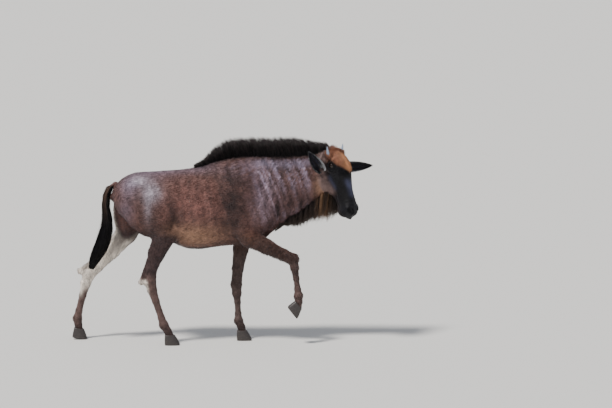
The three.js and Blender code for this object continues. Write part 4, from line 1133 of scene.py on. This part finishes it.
def spread_roots(count, density, seed):
    """Random roots: a face drawn by its area times the density, then a place drawn evenly within it."""
    random = np.random.default_rng(seed)
    weight = face_area * density(face_middle)
    chosen = random.choice(len(weight), size=count, p=weight / weight.sum())
    first, second = random.random((2, count))
    first, second = np.where(first + second > 1, (1 - first, 1 - second), (first, second))
    roots = face_a[chosen] + first[:, None] * (face_b - face_a)[chosen]
    roots = roots + second[:, None] * (face_c - face_a)[chosen]
    return roots, face_normal[chosen], random


# %% The coat
COAT_REGIONS = {
    # name: how many tufts, length, half width, lowest and highest x, seed of the random draws
    "coat_hindquarters": (19500, 17.0, 0.95, (-800, -330), 101),
    "coat_loin": (19500, 17.0, 0.95, (-330, -90), 102),
    "coat_barrel": (19500, 17.0, 0.95, (-90, 90), 103),
    "coat_shoulder": (19500, 18.0, 0.95, (90, 270), 104),
    "coat_neck": (20500, 20.0, 0.9, (270, 600), 105),
    "coat_head": (20500, 10.0, 0.65, (480, 800), 106),
}


LEG_LENGTH_SHARE, LEG_WIDTH_SHARE = 0.55, 0.7     # tufts on the lower legs, against the trunk's
BROW_LENGTH_SHARE, NOSE_LENGTH_SHARE = 1.6, 0.75  # tufts at the two ends of the face
ROOT_DEPTH = 1.0                                  # how far a tuft's root lies under the skin


def coat_mesh(name, count, length, half_width, span, seed):
    """Short tufts over one region of the skin, thinner and shorter on the face and lower legs."""
    wants_head = name == "coat_head"

    def density(points):
        here = window(points[:, 0], span[0] - 8, span[0] + 8, span[1] - 8, span[1] + 8)
        head = on_the_head(points)
        from_eye = (np.abs(head_coordinates(points)) - np.abs(np.array(EYE))) / (17, 13, 30)
        eye = np.sqrt((from_eye ** 2).sum(axis=1))
        bare = (eye < 1) | (head_coordinates(points)[:, 0] > 335)
        legs = 1 + 1.2 * smoothstep(420, 300, points[:, 2])
        if wants_head:
            return head * (1 - 0.97 * bare)
        return here * legs * ~head * (points[:, 2] > 52)

    roots, normals, random = spread_roots(count, density, seed)
    lie = lie_directions(roots, normals)
    s = head_coordinates(roots)[:, 0]
    size = length * random.uniform(0.7, 1.15, count)
    low_leg = smoothstep(430, 260, roots[:, 2])
    size *= mix(1.0, LEG_LENGTH_SHARE, low_leg)
    if wants_head:
        size *= mix(BROW_LENGTH_SHARE, NOSE_LENGTH_SHARE, smoothstep(90, 200, s))
    lift = random.uniform(0.04, 0.20, count)[:, None]
    start = unit(lie + normals * (lift + 0.25))
    end = unit(lie + normals * (lift - 0.10) + random.normal(scale=0.10, size=(count, 3)))
    paths = curved_paths(roots - normals * ROOT_DEPTH, start, end, size, 3)
    thick = half_width * random.uniform(0.75, 1.25, count) * mix(1.0, LEG_WIDTH_SHARE, low_leg)
    radii = np.stack([thick, thick * 0.85, thick * 0.0], axis=1)
    # each tuft is made lighter or darker at random, and a few much lighter as painted glints of shine
    glint = random.random(count) ** 2
    glint = glint * (1.0 + (random.random(count) < 0.12))
    colours = coat_colours(roots) * (0.72 + 0.5 * glint)[:, None]
    return strand_mesh(name, paths, radii, np.cross(normals, lie), colours, roots, colours * 1.25)


for name, (count, length, half_width, span, seed) in COAT_REGIONS.items():
    mesh = coat_mesh(name, count, length, half_width, span, seed)
    place(name, mesh, tuft_material, "head" if name == "coat_head" else "coat")

# %% [markdown]
# The mane, the beard and the tail are long hair, so each strand has more rings and bends more.
# Strands gather in locks: all strands of a lock lean the same way. Locks of the mane are spread evenly,
# each moved a little by chance, because places drawn freely would leave gaps that show the sky.

# %% The mane
def mane_rise(x):
    """Height of the mane: it rises behind the withers and gets lower towards the poll."""
    rise = smoothstep(MANE_FROM - 30, MANE_FROM + 190, x)
    return MANE_HEIGHT * rise * mix(1, 0.52, smoothstep(370, 540, x))


def mane_mesh():
    """Strands that stand on the crest in locks, with their tips brushed backwards."""
    random = np.random.default_rng(41)
    count, locks = 6600, 200
    span = MANE_TO - MANE_FROM + 34
    lock_x = MANE_FROM - 12 + span * (np.arange(locks) + random.uniform(0.1, 0.9, locks)) / locks
    lock = np.arange(count) % locks
    x = lock_x[lock] + random.normal(scale=4.5, size=count)
    spread = random.normal(scale=8.0, size=count).clip(-19, 19)
    middle = profile(TRUNK, 5, x)
    top = profile(TRUNK, 1, x)
    roots = np.stack([x, middle + spread, top - 14 - spread ** 2 / 40], axis=1)
    length = (mane_rise(x) * (1 - 0.016 * np.abs(spread)) + 24) * random.uniform(0.72, 1.06, count)
    lean = random.normal(scale=0.07, size=locks)[lock]
    side = random.normal(scale=0.12, size=locks)[lock]
    start = unit(np.stack([0.08 + lean * 0.4, spread / 60 + side * 0.5, np.ones(count)], axis=1))
    end = unit(np.stack([-0.55 + lean * 2, spread / 45 + side, np.ones(count) * 0.9], axis=1))
    end = unit(end + random.normal(scale=0.07, size=(count, 3)))
    paths = curved_paths(roots, start, end, length, 6)
    radii = strand_radii(random, 2.1, 0.35, 6, count)
    widths = np.tile(np.array([1.0, 0.0, 0.0]), (count, 1))
    dark = BLACK * random.uniform(0.6, 1.5, count)[:, None]
    tips = mix(dark, linear(80, 66, 66), (random.uniform(0.0, 1.0, count) ** 2 * 0.7)[:, None])
    return strand_mesh("mane", paths, radii, widths, dark, roots, tips)


place("mane", mane_mesh(), long_material, "hair")


# %% The beard
JAW_HAIR_FROM, JAW_HAIR_TO = 92.0, 282.0  # along the face
# place along x, height of the hair's tips
BEARD_TIPS = [(290, 606), (340, 590), (400, 586), (470, 606), (530, 614), (575, 624), (606, 664)]


def throat_roots(x, turn):
    """Places on the underside of the neck, so much round from its middle line."""
    half_width, bottom, widest, middle = (profile(TRUNK, column, x) for column in (3, 2, 4, 5))
    y = middle + turn * half_width * 0.62
    z = widest - (widest - bottom) * (1 - np.abs(turn * 0.62) ** 2.1) ** (1 / 2.1) + 5
    return np.stack([x, y, z], axis=1)


def jaw_roots(s, turn):
    """Places under the jaw, so far along the face and so much to the side."""
    t = profile(HEAD, 2, s) + 6 + 10 * np.abs(turn) ** 2
    return head_point(s[:, None], t[:, None], (22 * turn)[:, None])


def beard_mesh():
    """Strands that hang from the throat and the jaw in locks, down to a ragged line."""
    random = np.random.default_rng(42)
    count, locks, on_jaw = 6000, 240, 2200
    share = (np.arange(locks) + random.uniform(0, 1, locks)) / locks
    lock = random.integers(0, locks, count)
    lock_side = random.uniform(-1, 1, locks)
    along = share[lock] + random.normal(scale=0.012, size=count)
    turn = (lock_side[lock] * 0.75 + random.normal(scale=0.10, size=count)).clip(-0.95, 0.95)
    jaw = np.arange(count) < on_jaw
    s = mix(JAW_HAIR_FROM, JAW_HAIR_TO, along)
    on_throat = throat_roots(mix(BEARD_FROM - 30, BEARD_TO, along), turn)
    roots = np.where(jaw[:, None], jaw_roots(s, turn), on_throat)
    tips_at = np.interp(roots[:, 0], *np.array(BEARD_TIPS, dtype=float).T)
    fall = (roots[:, 2] - tips_at) * (1 - 0.2 * np.abs(turn)) * np.where(jaw, smoothstep(300, 262, s), 1.0)
    length = np.maximum(fall, 10) * (0.45 + 0.6 * random.random(count) ** 0.6)
    length = length * random.uniform(0.85, 1.06, locks)[lock]
    lean = random.normal(scale=0.17, size=locks)[lock]
    start = unit(np.stack([-0.05 - lean * 0.5, turn * 0.45, -np.ones(count)], axis=1))
    end = unit(np.stack([-0.14 + lean, -turn * 0.25, -np.ones(count)], axis=1))
    end = unit(end + random.normal(scale=0.07, size=(count, 3)))
    paths = curved_paths(roots, start, end, length, 6)
    radii = strand_radii(random, 1.3, 0.3, 6, count)
    widths = np.tile(np.array([1.0, 0.3, 0.0]), (count, 1))
    pale = random.random(locks)[lock] < 0.5
    jaw_gold = smoothstep(235, 190, s) * (0.25 + 0.6 * pale)
    throat_gold = smoothstep(470, 530, roots[:, 0]) * (0.1 + 0.6 * pale)
    gold = np.where(jaw, jaw_gold, throat_gold)[:, None]
    base = mix(linear(30, 23, 22), linear(150, 114, 84), gold) * random.uniform(0.6, 1.4, count)[:, None]
    tips = mix(base, linear(112, 88, 72), 0.25)
    return strand_mesh("beard", paths, radii, widths, base, roots, tips)


place("beard", beard_mesh(), long_material, "hair")


# %% The tail
def tail_mesh():
    """Strands from all round the dock that run down along the tail's line to its tip."""
    random = np.random.default_rng(43)
    count, rings = 3900, 7
    table = np.array(TAIL, dtype=float)
    places = np.linspace(0, 1, len(table))

    def line(share, column):
        return np.interp(share, places, table[:, column])

    root_share = random.uniform(0.03, 0.80, count) ** 0.9
    angle = random.uniform(0, 2 * np.pi, count)
    ring_at = random.uniform(0.3, 1.0, count)
    reach = np.where(root_share < 0.4, random.uniform(0.10, 0.34, count), random.uniform(0.22, 0.5, count))
    points = []
    drift = random.normal(scale=3.0, size=(count, 3))
    for step in range(rings):
        passed = step / (rings - 1)
        share = np.minimum(root_share + reach * step / (rings - 1), 1.0)
        swell = mix(0.55, 0.98, smoothstep(0.0, 0.35, passed)) * mix(0.5, 1.0, ring_at)
        half_x, half_y = line(share, 3) * swell, line(share, 4) * swell
        middle = np.stack([line(share, 0), line(share, 1), line(share, 2)], axis=1)
        forward = np.cos(angle) * half_x
        out = np.stack([forward * 0.96, np.sin(angle) * half_y, forward * -0.2], axis=1)
        points.append(middle + out + drift * passed)
    paths = np.stack(points, axis=1)
    radii = strand_radii(random, 1.3, 0.35, rings, count)
    widths = np.stack([np.sin(angle), np.cos(angle), np.zeros(count)], axis=1)
    dark = BLACK * random.uniform(0.5, 1.4, count)[:, None]
    brown = (smoothstep(0.35, 0.05, root_share) * (np.cos(angle) < 0.2) * 0.7)[:, None]
    dark = mix(dark, linear(96, 76, 66), brown)
    return strand_mesh("tail_hair", paths, radii, widths, dark, paths[:, 0], dark * 1.1)


place("tail_hair", tail_mesh(), long_material, "hair", "tail")

# %% [markdown]
# The ears are long leaves rolled into a cup. Their backs are thin-haired and dark, with pale hair on one
# lower rim, and rows of fine hair run down the hollow. A grid bent round a curve gives both faces at once.

# %% Rings joined into a closed mesh
def ring_mesh(name, rings):
    """A closed skin through rings of equal count, from an array of levels by corners by 3."""
    levels, corners = rings.shape[:2]
    i, j = np.meshgrid(np.arange(levels - 1), np.arange(corners), indexing="ij")
    a, b = i * corners + j, i * corners + (j + 1) % corners
    faces = np.stack([a, b, b + corners, a + corners], axis=-1).reshape(-1, 4)
    mesh = mesh_from(name, rings.reshape(-1, 3), faces)
    work = bmesh.new()
    work.from_mesh(mesh)
    bmesh.ops.holes_fill(work, edges=[edge for edge in work.edges if edge.is_boundary])
    bmesh.ops.triangulate(work, faces=[face for face in work.faces if len(face.verts) > 4])
    bmesh.ops.recalc_face_normals(work, faces=work.faces[:])
    work.to_mesh(mesh)
    work.free()
    smooth_faces(mesh)
    return mesh


# %% Ears
EAR_LENGTH, EAR_HALF_WIDTH, EAR_THICKNESS = 206.0, 32.0, 4.0


def ear_surface(word, u, v, inner):
    """A place on the ear: u runs from foot to tip, v from rim to rim, and inner picks the hollow face.

    The ear's half width swells and shrinks as a sine along u, and v bends the leaf round a circle.
    """
    base, outward, opening, across = ear_directions(word)
    width = EAR_HALF_WIDTH * np.sin(np.pi * clip01(0.07 + 0.93 * u)) ** 0.72 * mix(1.05, 0.82, u)
    curl = mix(1.5, 0.75, u)
    angle = v * curl
    radius = width / np.sin(np.minimum(curl, 1.5))
    depth = radius * (1 - np.cos(angle)) * 0.9
    thick = EAR_THICKNESS * (1 - 0.6 * u) * (1 - 0.75 * v ** 2)
    lift = depth + np.where(inner, thick, 0.0) - 14 * u ** 2 + 6
    return (base + (EAR_LENGTH * u - 16)[..., None] * outward
            + (radius * np.sin(angle))[..., None] * across + lift[..., None] * opening)


def ear_mesh(word):
    """Both faces of the ear as one closed sheet. The pale hair is on the rim where v is 1."""
    along, around = 40, 24
    u = np.linspace(0.0, 0.992, along)
    back = np.linspace(-1, 1, around)
    v = np.concatenate([back, back[::-1]])
    inner = np.concatenate([np.zeros(around, bool), np.ones(around, bool)])
    grid_u, grid_v = np.meshgrid(u, v, indexing="ij")
    deep = np.broadcast_to(inner, grid_u.shape)
    mesh = ring_mesh(f"ear_{word}", ear_surface(word, grid_u, grid_v, deep))
    ridge = 0.5 + 0.5 * np.sin(grid_v.ravel() * 11)
    colour = mix(linear(26, 22, 25), linear(56, 58, 80), (deep.ravel() * 0.5 * ridge)[:, None])
    low_rim = smoothstep(-0.2, 0.6, grid_v.ravel()) * smoothstep(0.8, 0.4, grid_u.ravel())
    pale = smoothstep(0.84, 1.0, np.abs(grid_v).ravel()) * mix(0.3, 0.95, low_rim)
    pale = np.maximum(pale, deep.ravel() * smoothstep(0.34, 0.12, grid_u.ravel()) * low_rim)
    add_colours(mesh, mix(colour, linear(206, 206, 206), pale[:, None]))
    return mesh


def ear_hair_mesh(word):
    """Fringes along both rims and fine rows in the hollow, all leaning towards the tip."""
    random = np.random.default_rng(60 + len(word))
    count = 3400
    u = random.uniform(0.02, 0.97, count)
    on_rim = random.random(count) < 0.5
    v = np.where(on_rim, np.sign(random.uniform(-1, 1, count)) * random.uniform(0.86, 1.0, count),
                 random.uniform(-0.85, 0.85, count))
    inner = on_rim | (random.random(count) < 0.6)
    roots = ear_surface(word, u, v, inner)
    _, outward, opening, across = ear_directions(word)
    lean = np.where(inner, 0.5, -0.3)[:, None] * opening
    start = unit(outward + lean - (0.5 * v * on_rim)[:, None] * across)
    end = unit(outward - (0.35 * v)[:, None] * across + random.normal(scale=0.12, size=(count, 3)))
    length = np.where(on_rim, 20.0, 13.0) * random.uniform(0.6, 1.1, count) * mix(1.2, 0.6, u)
    paths = curved_paths(roots, start, end, length, 4)
    radii = strand_radii(random, 0.6, 0.25, 4, count)
    low_rim = smoothstep(-0.2, 0.6, v) * smoothstep(0.85, 0.45, u)
    in_hollow = np.where(inner, 0.9 * smoothstep(0.55, 0.2, u) * low_rim, 0.03)
    share = np.where(on_rim, mix(0.12, 0.95, low_rim), in_hollow)
    pale = clip01(share + 0.35 * random.normal(size=count) * (share > 0.05))
    colours = mix(linear(24, 21, 25), linear(210, 212, 216), (pale ** 1.5)[:, None])
    return strand_mesh("ear_hair", paths, radii, np.tile(across, (count, 1)), colours, roots)


# %% Make both ears
for word in EARS:
    place(f"ear_{word}_leaf", ear_mesh(word), skin_material, "ear", f"ear_{word}")
    place(f"ear_{word}_hair", ear_hair_mesh(word), long_material, "ear")

# %% [markdown]
# The forehead of a calf carries a thick rusty brush. It could be a noise pattern on the skin, but its edge
# over the dark face is ragged in outline, so it is made of hair that stands off the brow.

# %% The brush on the forehead
def forehead_mesh():
    """Longer rusty tufts that hang over the brow and stand up between the horns."""
    random = np.random.default_rng(51)
    count = 5200
    s = random.uniform(-4, 132, count)
    w = random.uniform(-1, 1, count)
    top = profile(HEAD, 1, s)
    half_width = profile(HEAD, 3, s)
    power = profile(HEAD, 5, s)
    widest = profile(HEAD, 4, s)
    t = widest + (top - widest) * (1 - np.abs(w * 0.88) ** power) ** (1 / power) - 2
    roots = head_point(0, 0, 0) + s[:, None] * FACE_AXIS + t[:, None] * HEAD_FRONT
    roots = roots + (w * 0.88 * half_width)[:, None] * HEAD_LEFT
    front = smoothstep(-14, 30, s)[:, None]
    out = unit(HEAD_FRONT + (w * 0.5)[:, None] * HEAD_LEFT)
    start = unit(out * 0.75 + mix(-FACE_AXIS, FACE_AXIS * 0.8, front))
    end = unit(out * 0.15 + mix(-FACE_AXIS + 0.5 * HEAD_FRONT, FACE_AXIS * 1.2, front)
               + random.normal(scale=0.16, size=(count, 3)))
    length = mix(24.0, 16.0, smoothstep(20, 100, s)) * random.uniform(0.6, 1.1, count)
    paths = curved_paths(roots, start, end, length, 4)
    radii = strand_radii(random, 0.85, 0.35, 4, count)
    colours = coat_colours(roots) * random.uniform(0.8, 1.3, count)[:, None]
    widths = np.tile(HEAD_LEFT, (count, 1))
    return strand_mesh("forehead_brush", paths, radii, widths, colours, roots, colours * 1.15)


place("forehead_brush", forehead_mesh(), tuft_material, "head")

# %% [markdown]
# The horns of a calf of this age are short straight spikes, blue-grey, with fine rings that fade towards
# the tip. The hooves are pairs of claws. A cone and a block would give the size, but not the rings or the
# sole's outline, so both are profiles carried along a line. Short hair hides where horn meets skin.

# %% Horn and hoof materials
def horn_material(name, dark, pale, roughness, ring_scale):
    """Two tones mixed by rings times noise on object coordinates, with the same pattern as bump."""
    material, tree, shader = new_material(name, Roughness=roughness)
    place_node = add_node(tree, "ShaderNodeTexCoord")
    rings = add_node(
        tree, "ShaderNodeTexWave", bands_direction="Z", Distortion=3.5, Detail=2.0, Scale=ring_scale,
    )
    specks = add_node(tree, "ShaderNodeTexNoise", Scale=160.0, Detail=4.0)
    both = add_node(tree, "ShaderNodeMath", operation="MULTIPLY")
    tone = add_node(tree, "ShaderNodeMix", data_type="RGBA", A=(*dark, 1.0), B=(*pale, 1.0))
    height = add_node(tree, "ShaderNodeBump", Strength=0.35, Distance=0.0008)
    join(
        tree,
        (place_node, "Object", rings, "Vector"),
        (place_node, "Object", specks, "Vector"),
        (rings, "Fac", both, 0),
        (specks, "Fac", both, 1),
        (both, "Value", tone, "Factor"),
        (tone, "Result", shader, "Base Color"),
        (both, "Value", height, "Height"),
        (height, "Normal", shader, "Normal"),
    )
    return material


horn_finish = horn_material("horn", linear(120, 136, 160), linear(196, 208, 222), 0.34, 70.0)
hoof_finish = horn_material("hoof", linear(34, 31, 33), linear(96, 86, 80), 0.42, 60.0)


# %% Horns
HORN_LENGTH, HORN_RADIUS, HORN_ROOT = 40.0, 9.5, 14.0
for side, word in ((1, "left"), (-1, "right")):
    up = unit(UP + HORN_LEAN * side * HEAD_LEFT)
    outward = side * HEAD_LEFT
    share = np.linspace(0, 1, 34)
    angle = np.linspace(0, 2 * np.pi, 24, endpoint=False)
    radius = HORN_RADIUS * mix(1, 0.14, share ** 1.25) * (1 + 0.035 * np.sin(share * 60) * (1 - share))
    radius[-1] *= 0.4
    middle = head_point(HORN[0], HORN[1], side * HORN[2])
    middle = middle + (share * (HORN_LENGTH + HORN_ROOT) - HORN_ROOT)[:, None] * up
    middle = middle - (5 * share ** 2)[:, None] * outward
    one = unit(np.cross(up, outward))
    two = np.cross(one, up)
    rings = middle[:, None] + radius[:, None, None] * (
        np.cos(angle)[None, :, None] * one + np.sin(angle)[None, :, None] * two)
    place(f"horn_{word}_spike", ring_mesh("horn", rings), horn_finish, "horn", f"horn_{word}")


# %% Hair round the horns' feet
def horn_brush():
    """Short rusty tufts round each horn's foot, standing up along it."""
    random = np.random.default_rng(57)
    count = 1500
    side = np.where(np.arange(count) % 2 == 0, 1.0, -1.0)
    turn = random.uniform(0, 2 * np.pi, count)
    out = np.cos(turn)[:, None] * HEAD_FRONT - (side * np.abs(np.sin(turn)))[:, None] * HEAD_LEFT
    up = unit(UP + (HORN_LEAN * side)[:, None] * HEAD_LEFT)
    foot = head_point(HORN[0], HORN[1], 0) + (side * HORN[2])[:, None] * HEAD_LEFT
    roots = foot + out * random.uniform(7, 13, count)[:, None] - up * 12
    end = unit(up + 0.25 * out + random.normal(scale=0.15, size=(count, 3)))
    paths = curved_paths(roots, unit(up + 0.5 * out), end, random.uniform(10, 18, count), 4)
    radii = strand_radii(random, 0.9, 0.35, 4, count)
    colours = mix(DARK_BROWN, RUST, random.uniform(0.3, 1.0, count)[:, None])
    widths = np.tile(HEAD_LEFT, (count, 1))
    return strand_mesh("horn_brush", paths, radii, widths, colours, roots, colours * 1.3)


place("horn_brush", horn_brush(), tuft_material, "head")

# %% Hooves
HOOF_LENGTH, CLAW_WIDTH, HOOF_HEIGHT = 76.0, 26.0, 50.0
CLAW_OUTLINE = [(1, 0.12), (0.72, 0.72), (0.2, 1), (-0.45, 1), (-0.88, 0.72), (-1, 0),
                (-0.85, -0.7), (-0.4, -0.95), (0.3, -0.9), (0.8, -0.5)]
# height, length share, how far back, half width share, place across
CLAW_LEVELS = [(0, 0.93, 0, 0.45, 0.55), (1.5, 1.0, 0, 0.5, 0.55), (12, 0.97, -2, 0.5, 0.55),
               (30, 0.84, -7, 0.49, 0.5), (50, 0.66, -13, 0.46, 0.42), (52, 0.5, -13, 0.3, 0.42)]


def claw_rings(side):
    """One claw: its outline, smoothed to 40 corners, scaled and moved at each height."""
    outline = np.array(CLAW_OUTLINE)
    closed = np.concatenate([outline, outline[:1]])
    steps = np.linspace(0, len(outline), 40, endpoint=False)
    smooth = np.stack([np.interp(steps, np.arange(len(closed)), closed[:, k]) for k in range(2)], axis=1)
    smooth = (smooth + np.roll(smooth, 1, axis=0) + np.roll(smooth, -1, axis=0)) / 3 * 1.02
    heights = np.concatenate([[0, 1.5], np.linspace(4, 48, 12), [50, 51]])
    levels = np.array(CLAW_LEVELS, dtype=float)
    size, back, half, across = (np.interp(heights, levels[:, 0], levels[:, k]) for k in range(1, 5))
    ridges = 1 + 0.006 * np.sin(heights * 1.1)
    x = smooth[None, :, 0] * (HOOF_LENGTH / 2 * size * ridges)[:, None] + back[:, None]
    y = side * ((across * CLAW_WIDTH)[:, None] + smooth[None, :, 1] * (CLAW_WIDTH * half)[:, None])
    return np.stack([x, y, np.broadcast_to(heights[:, None], x.shape)], axis=-1)


for name, (coronet, turn) in HOOFS.items():
    meshes = []
    for side in (1, -1):
        rings = claw_rings(side) + np.array([13.0, 0.0, -HOOF_HEIGHT])
        x = rings[..., 0] * math.cos(turn) + rings[..., 2] * math.sin(turn)
        z = rings[..., 2] * math.cos(turn) - rings[..., 0] * math.sin(turn)
        turned = np.stack([x, rings[..., 1], z], axis=-1) + np.array(coronet)
        turned[..., 2] = np.maximum(turned[..., 2], 0.0)
        meshes.append(ring_mesh("claw", turned))
    work = bmesh.new()
    for mesh in meshes:
        work.from_mesh(mesh)
    pair = bpy.data.meshes.new(f"hoof_{name}")
    work.to_mesh(pair)
    work.free()
    smooth_faces(pair)
    place(f"claws_{name}", pair, hoof_finish, "hoof", f"hoof_{name}")

# %% [markdown]
# The eye is a dark ball with a brown iris and a wide pupil that lies level, as in all grazing animals.
# It sits within the lids, and a clear wet coat on its shader gives the highlight.

# %% Eyes
def eye_material():
    """A dark wet finish: the iris and the level pupil are colours kept on the ball's own points."""
    material, tree, shader = new_material(
        "wet eye", Roughness=0.14, Coat_Weight=0.25, Coat_Roughness=0.02, Specular_IOR_Level=0.35,
    )
    colour = add_node(tree, "ShaderNodeAttribute", attribute_name="coat_colour")
    join(tree, (colour, "Color", shader, "Base Color"))
    return material


eye_finish = eye_material()
for side, word in ((1, "left"), (-1, "right")):
    centre = head_point(EYE[0], EYE[1], side * EYE[2])
    gaze = side * HEAD_LEFT
    polar = np.linspace(0, np.pi, 40)
    angle = np.linspace(0, 2 * np.pi, 64, endpoint=False)
    bulge = 1 + 0.05 * np.exp(-(polar / 0.5) ** 2)
    rings = centre + EYE_RADIUS * 0.985 * bulge[:, None, None] * (
        np.cos(polar)[:, None, None] * gaze
        + np.sin(polar)[:, None, None] * (np.cos(angle)[None, :, None] * FACE_AXIS
                                          + np.sin(angle)[None, :, None] * HEAD_FRONT))
    mesh = ring_mesh("eye", rings[1:-1])
    offset = mesh_points(mesh) - centre
    up = offset @ UP
    along = offset @ unit(np.cross(gaze, UP))
    facing = offset @ gaze > 0
    pupil = smoothstep(1.15, 0.9, np.hypot(along / 6.2, up / 3.6)) * facing
    iris = smoothstep(1.1, 0.95, np.hypot(along, up) / 10.5) * facing
    colour = mix(linear(16, 12, 11), linear(34, 17, 8), iris[:, None])
    add_colours(mesh, mix(colour, linear(6, 5, 5), pupil[:, None]))
    place(f"eye_{word}_ball", mesh, eye_finish, "eye", f"eye_{word}")

# %% [markdown]
# The stage is a plain pale floor. One soft sun stands high on the camera's side, towards the tail, so the
# back is brighter than the belly, and an even pale sky fills the shadows. Small lamps would need care to
# keep the same light on so long a body, so the sun is the simpler way.

# %% Floor and light
FLOOR_HALF, FLOOR_COLOUR = 60.0, (0.72, 0.71, 0.68, 1.0)  # metres each way, colour
floor_points = np.array([[-1, -1, 0], [1, -1, 0], [1, 1, 0], [-1, 1, 0]]) * FLOOR_HALF * 1000 - SHIFT
floor_mesh = mesh_from("floor", floor_points, np.array([[0, 1, 2, 3]]))
floor_finish, _, _ = new_material("pale floor", Base_Color=FLOOR_COLOUR, Roughness=0.9)
floor_mesh.materials.append(floor_finish)
floor = bpy.data.objects.new("floor", floor_mesh)
bpy.context.scene.collection.objects.link(floor)

SKY_COLOUR, SKY_STRENGTH = (0.86, 0.90, 1.0, 1.0), 0.50
world = bpy.data.worlds.new("studio")
bpy.context.scene.world = world
world.use_nodes = True
sky = world.node_tree.nodes["Background"]
sky.inputs["Color"].default_value = SKY_COLOUR
sky.inputs["Strength"].default_value = SKY_STRENGTH

SUN_STRENGTH, SUN_SOFTNESS, SUN_COLOUR = 4.2, math.radians(10), (1.0, 0.97, 0.93)
TOWARDS_SUN = Vector((-0.40, -0.36, 0.84))
sun = bpy.data.lights.new("key", "SUN")
sun.energy = SUN_STRENGTH
sun.angle = SUN_SOFTNESS
sun.color = SUN_COLOUR
lamp = bpy.data.objects.new("key", sun)
lamp.rotation_euler = TOWARDS_SUN.to_track_quat("Z", "Y").to_euler()
bpy.context.scene.collection.objects.link(lamp)

# %% Camera
# The camera looks along +y from twenty metres, eight degrees above the floor.
CAMERA_DISTANCE, CAMERA_RISE, VIEW_WIDTH = 20.0, math.radians(8), 3.0906
VIEW_MIDDLE = np.array([434.0, 0.0, 706.0])
SENSOR = 36  # millimetres
camera_data = bpy.data.cameras.new("camera")
camera_data.sensor_width = SENSOR
camera_data.lens = CAMERA_DISTANCE * SENSOR / VIEW_WIDTH
camera_data.clip_end = 100
camera = bpy.data.objects.new("camera", camera_data)
target = Vector(to_frame(VIEW_MIDDLE))
camera.location = target + Vector((0, -math.cos(CAMERA_RISE), math.sin(CAMERA_RISE))) * CAMERA_DISTANCE
camera.rotation_euler = (target - camera.location).to_track_quat("-Z", "Y").to_euler()
bpy.context.scene.collection.objects.link(camera)
bpy.context.scene.camera = camera
print("lens", round(camera_data.lens, 1), "mm")
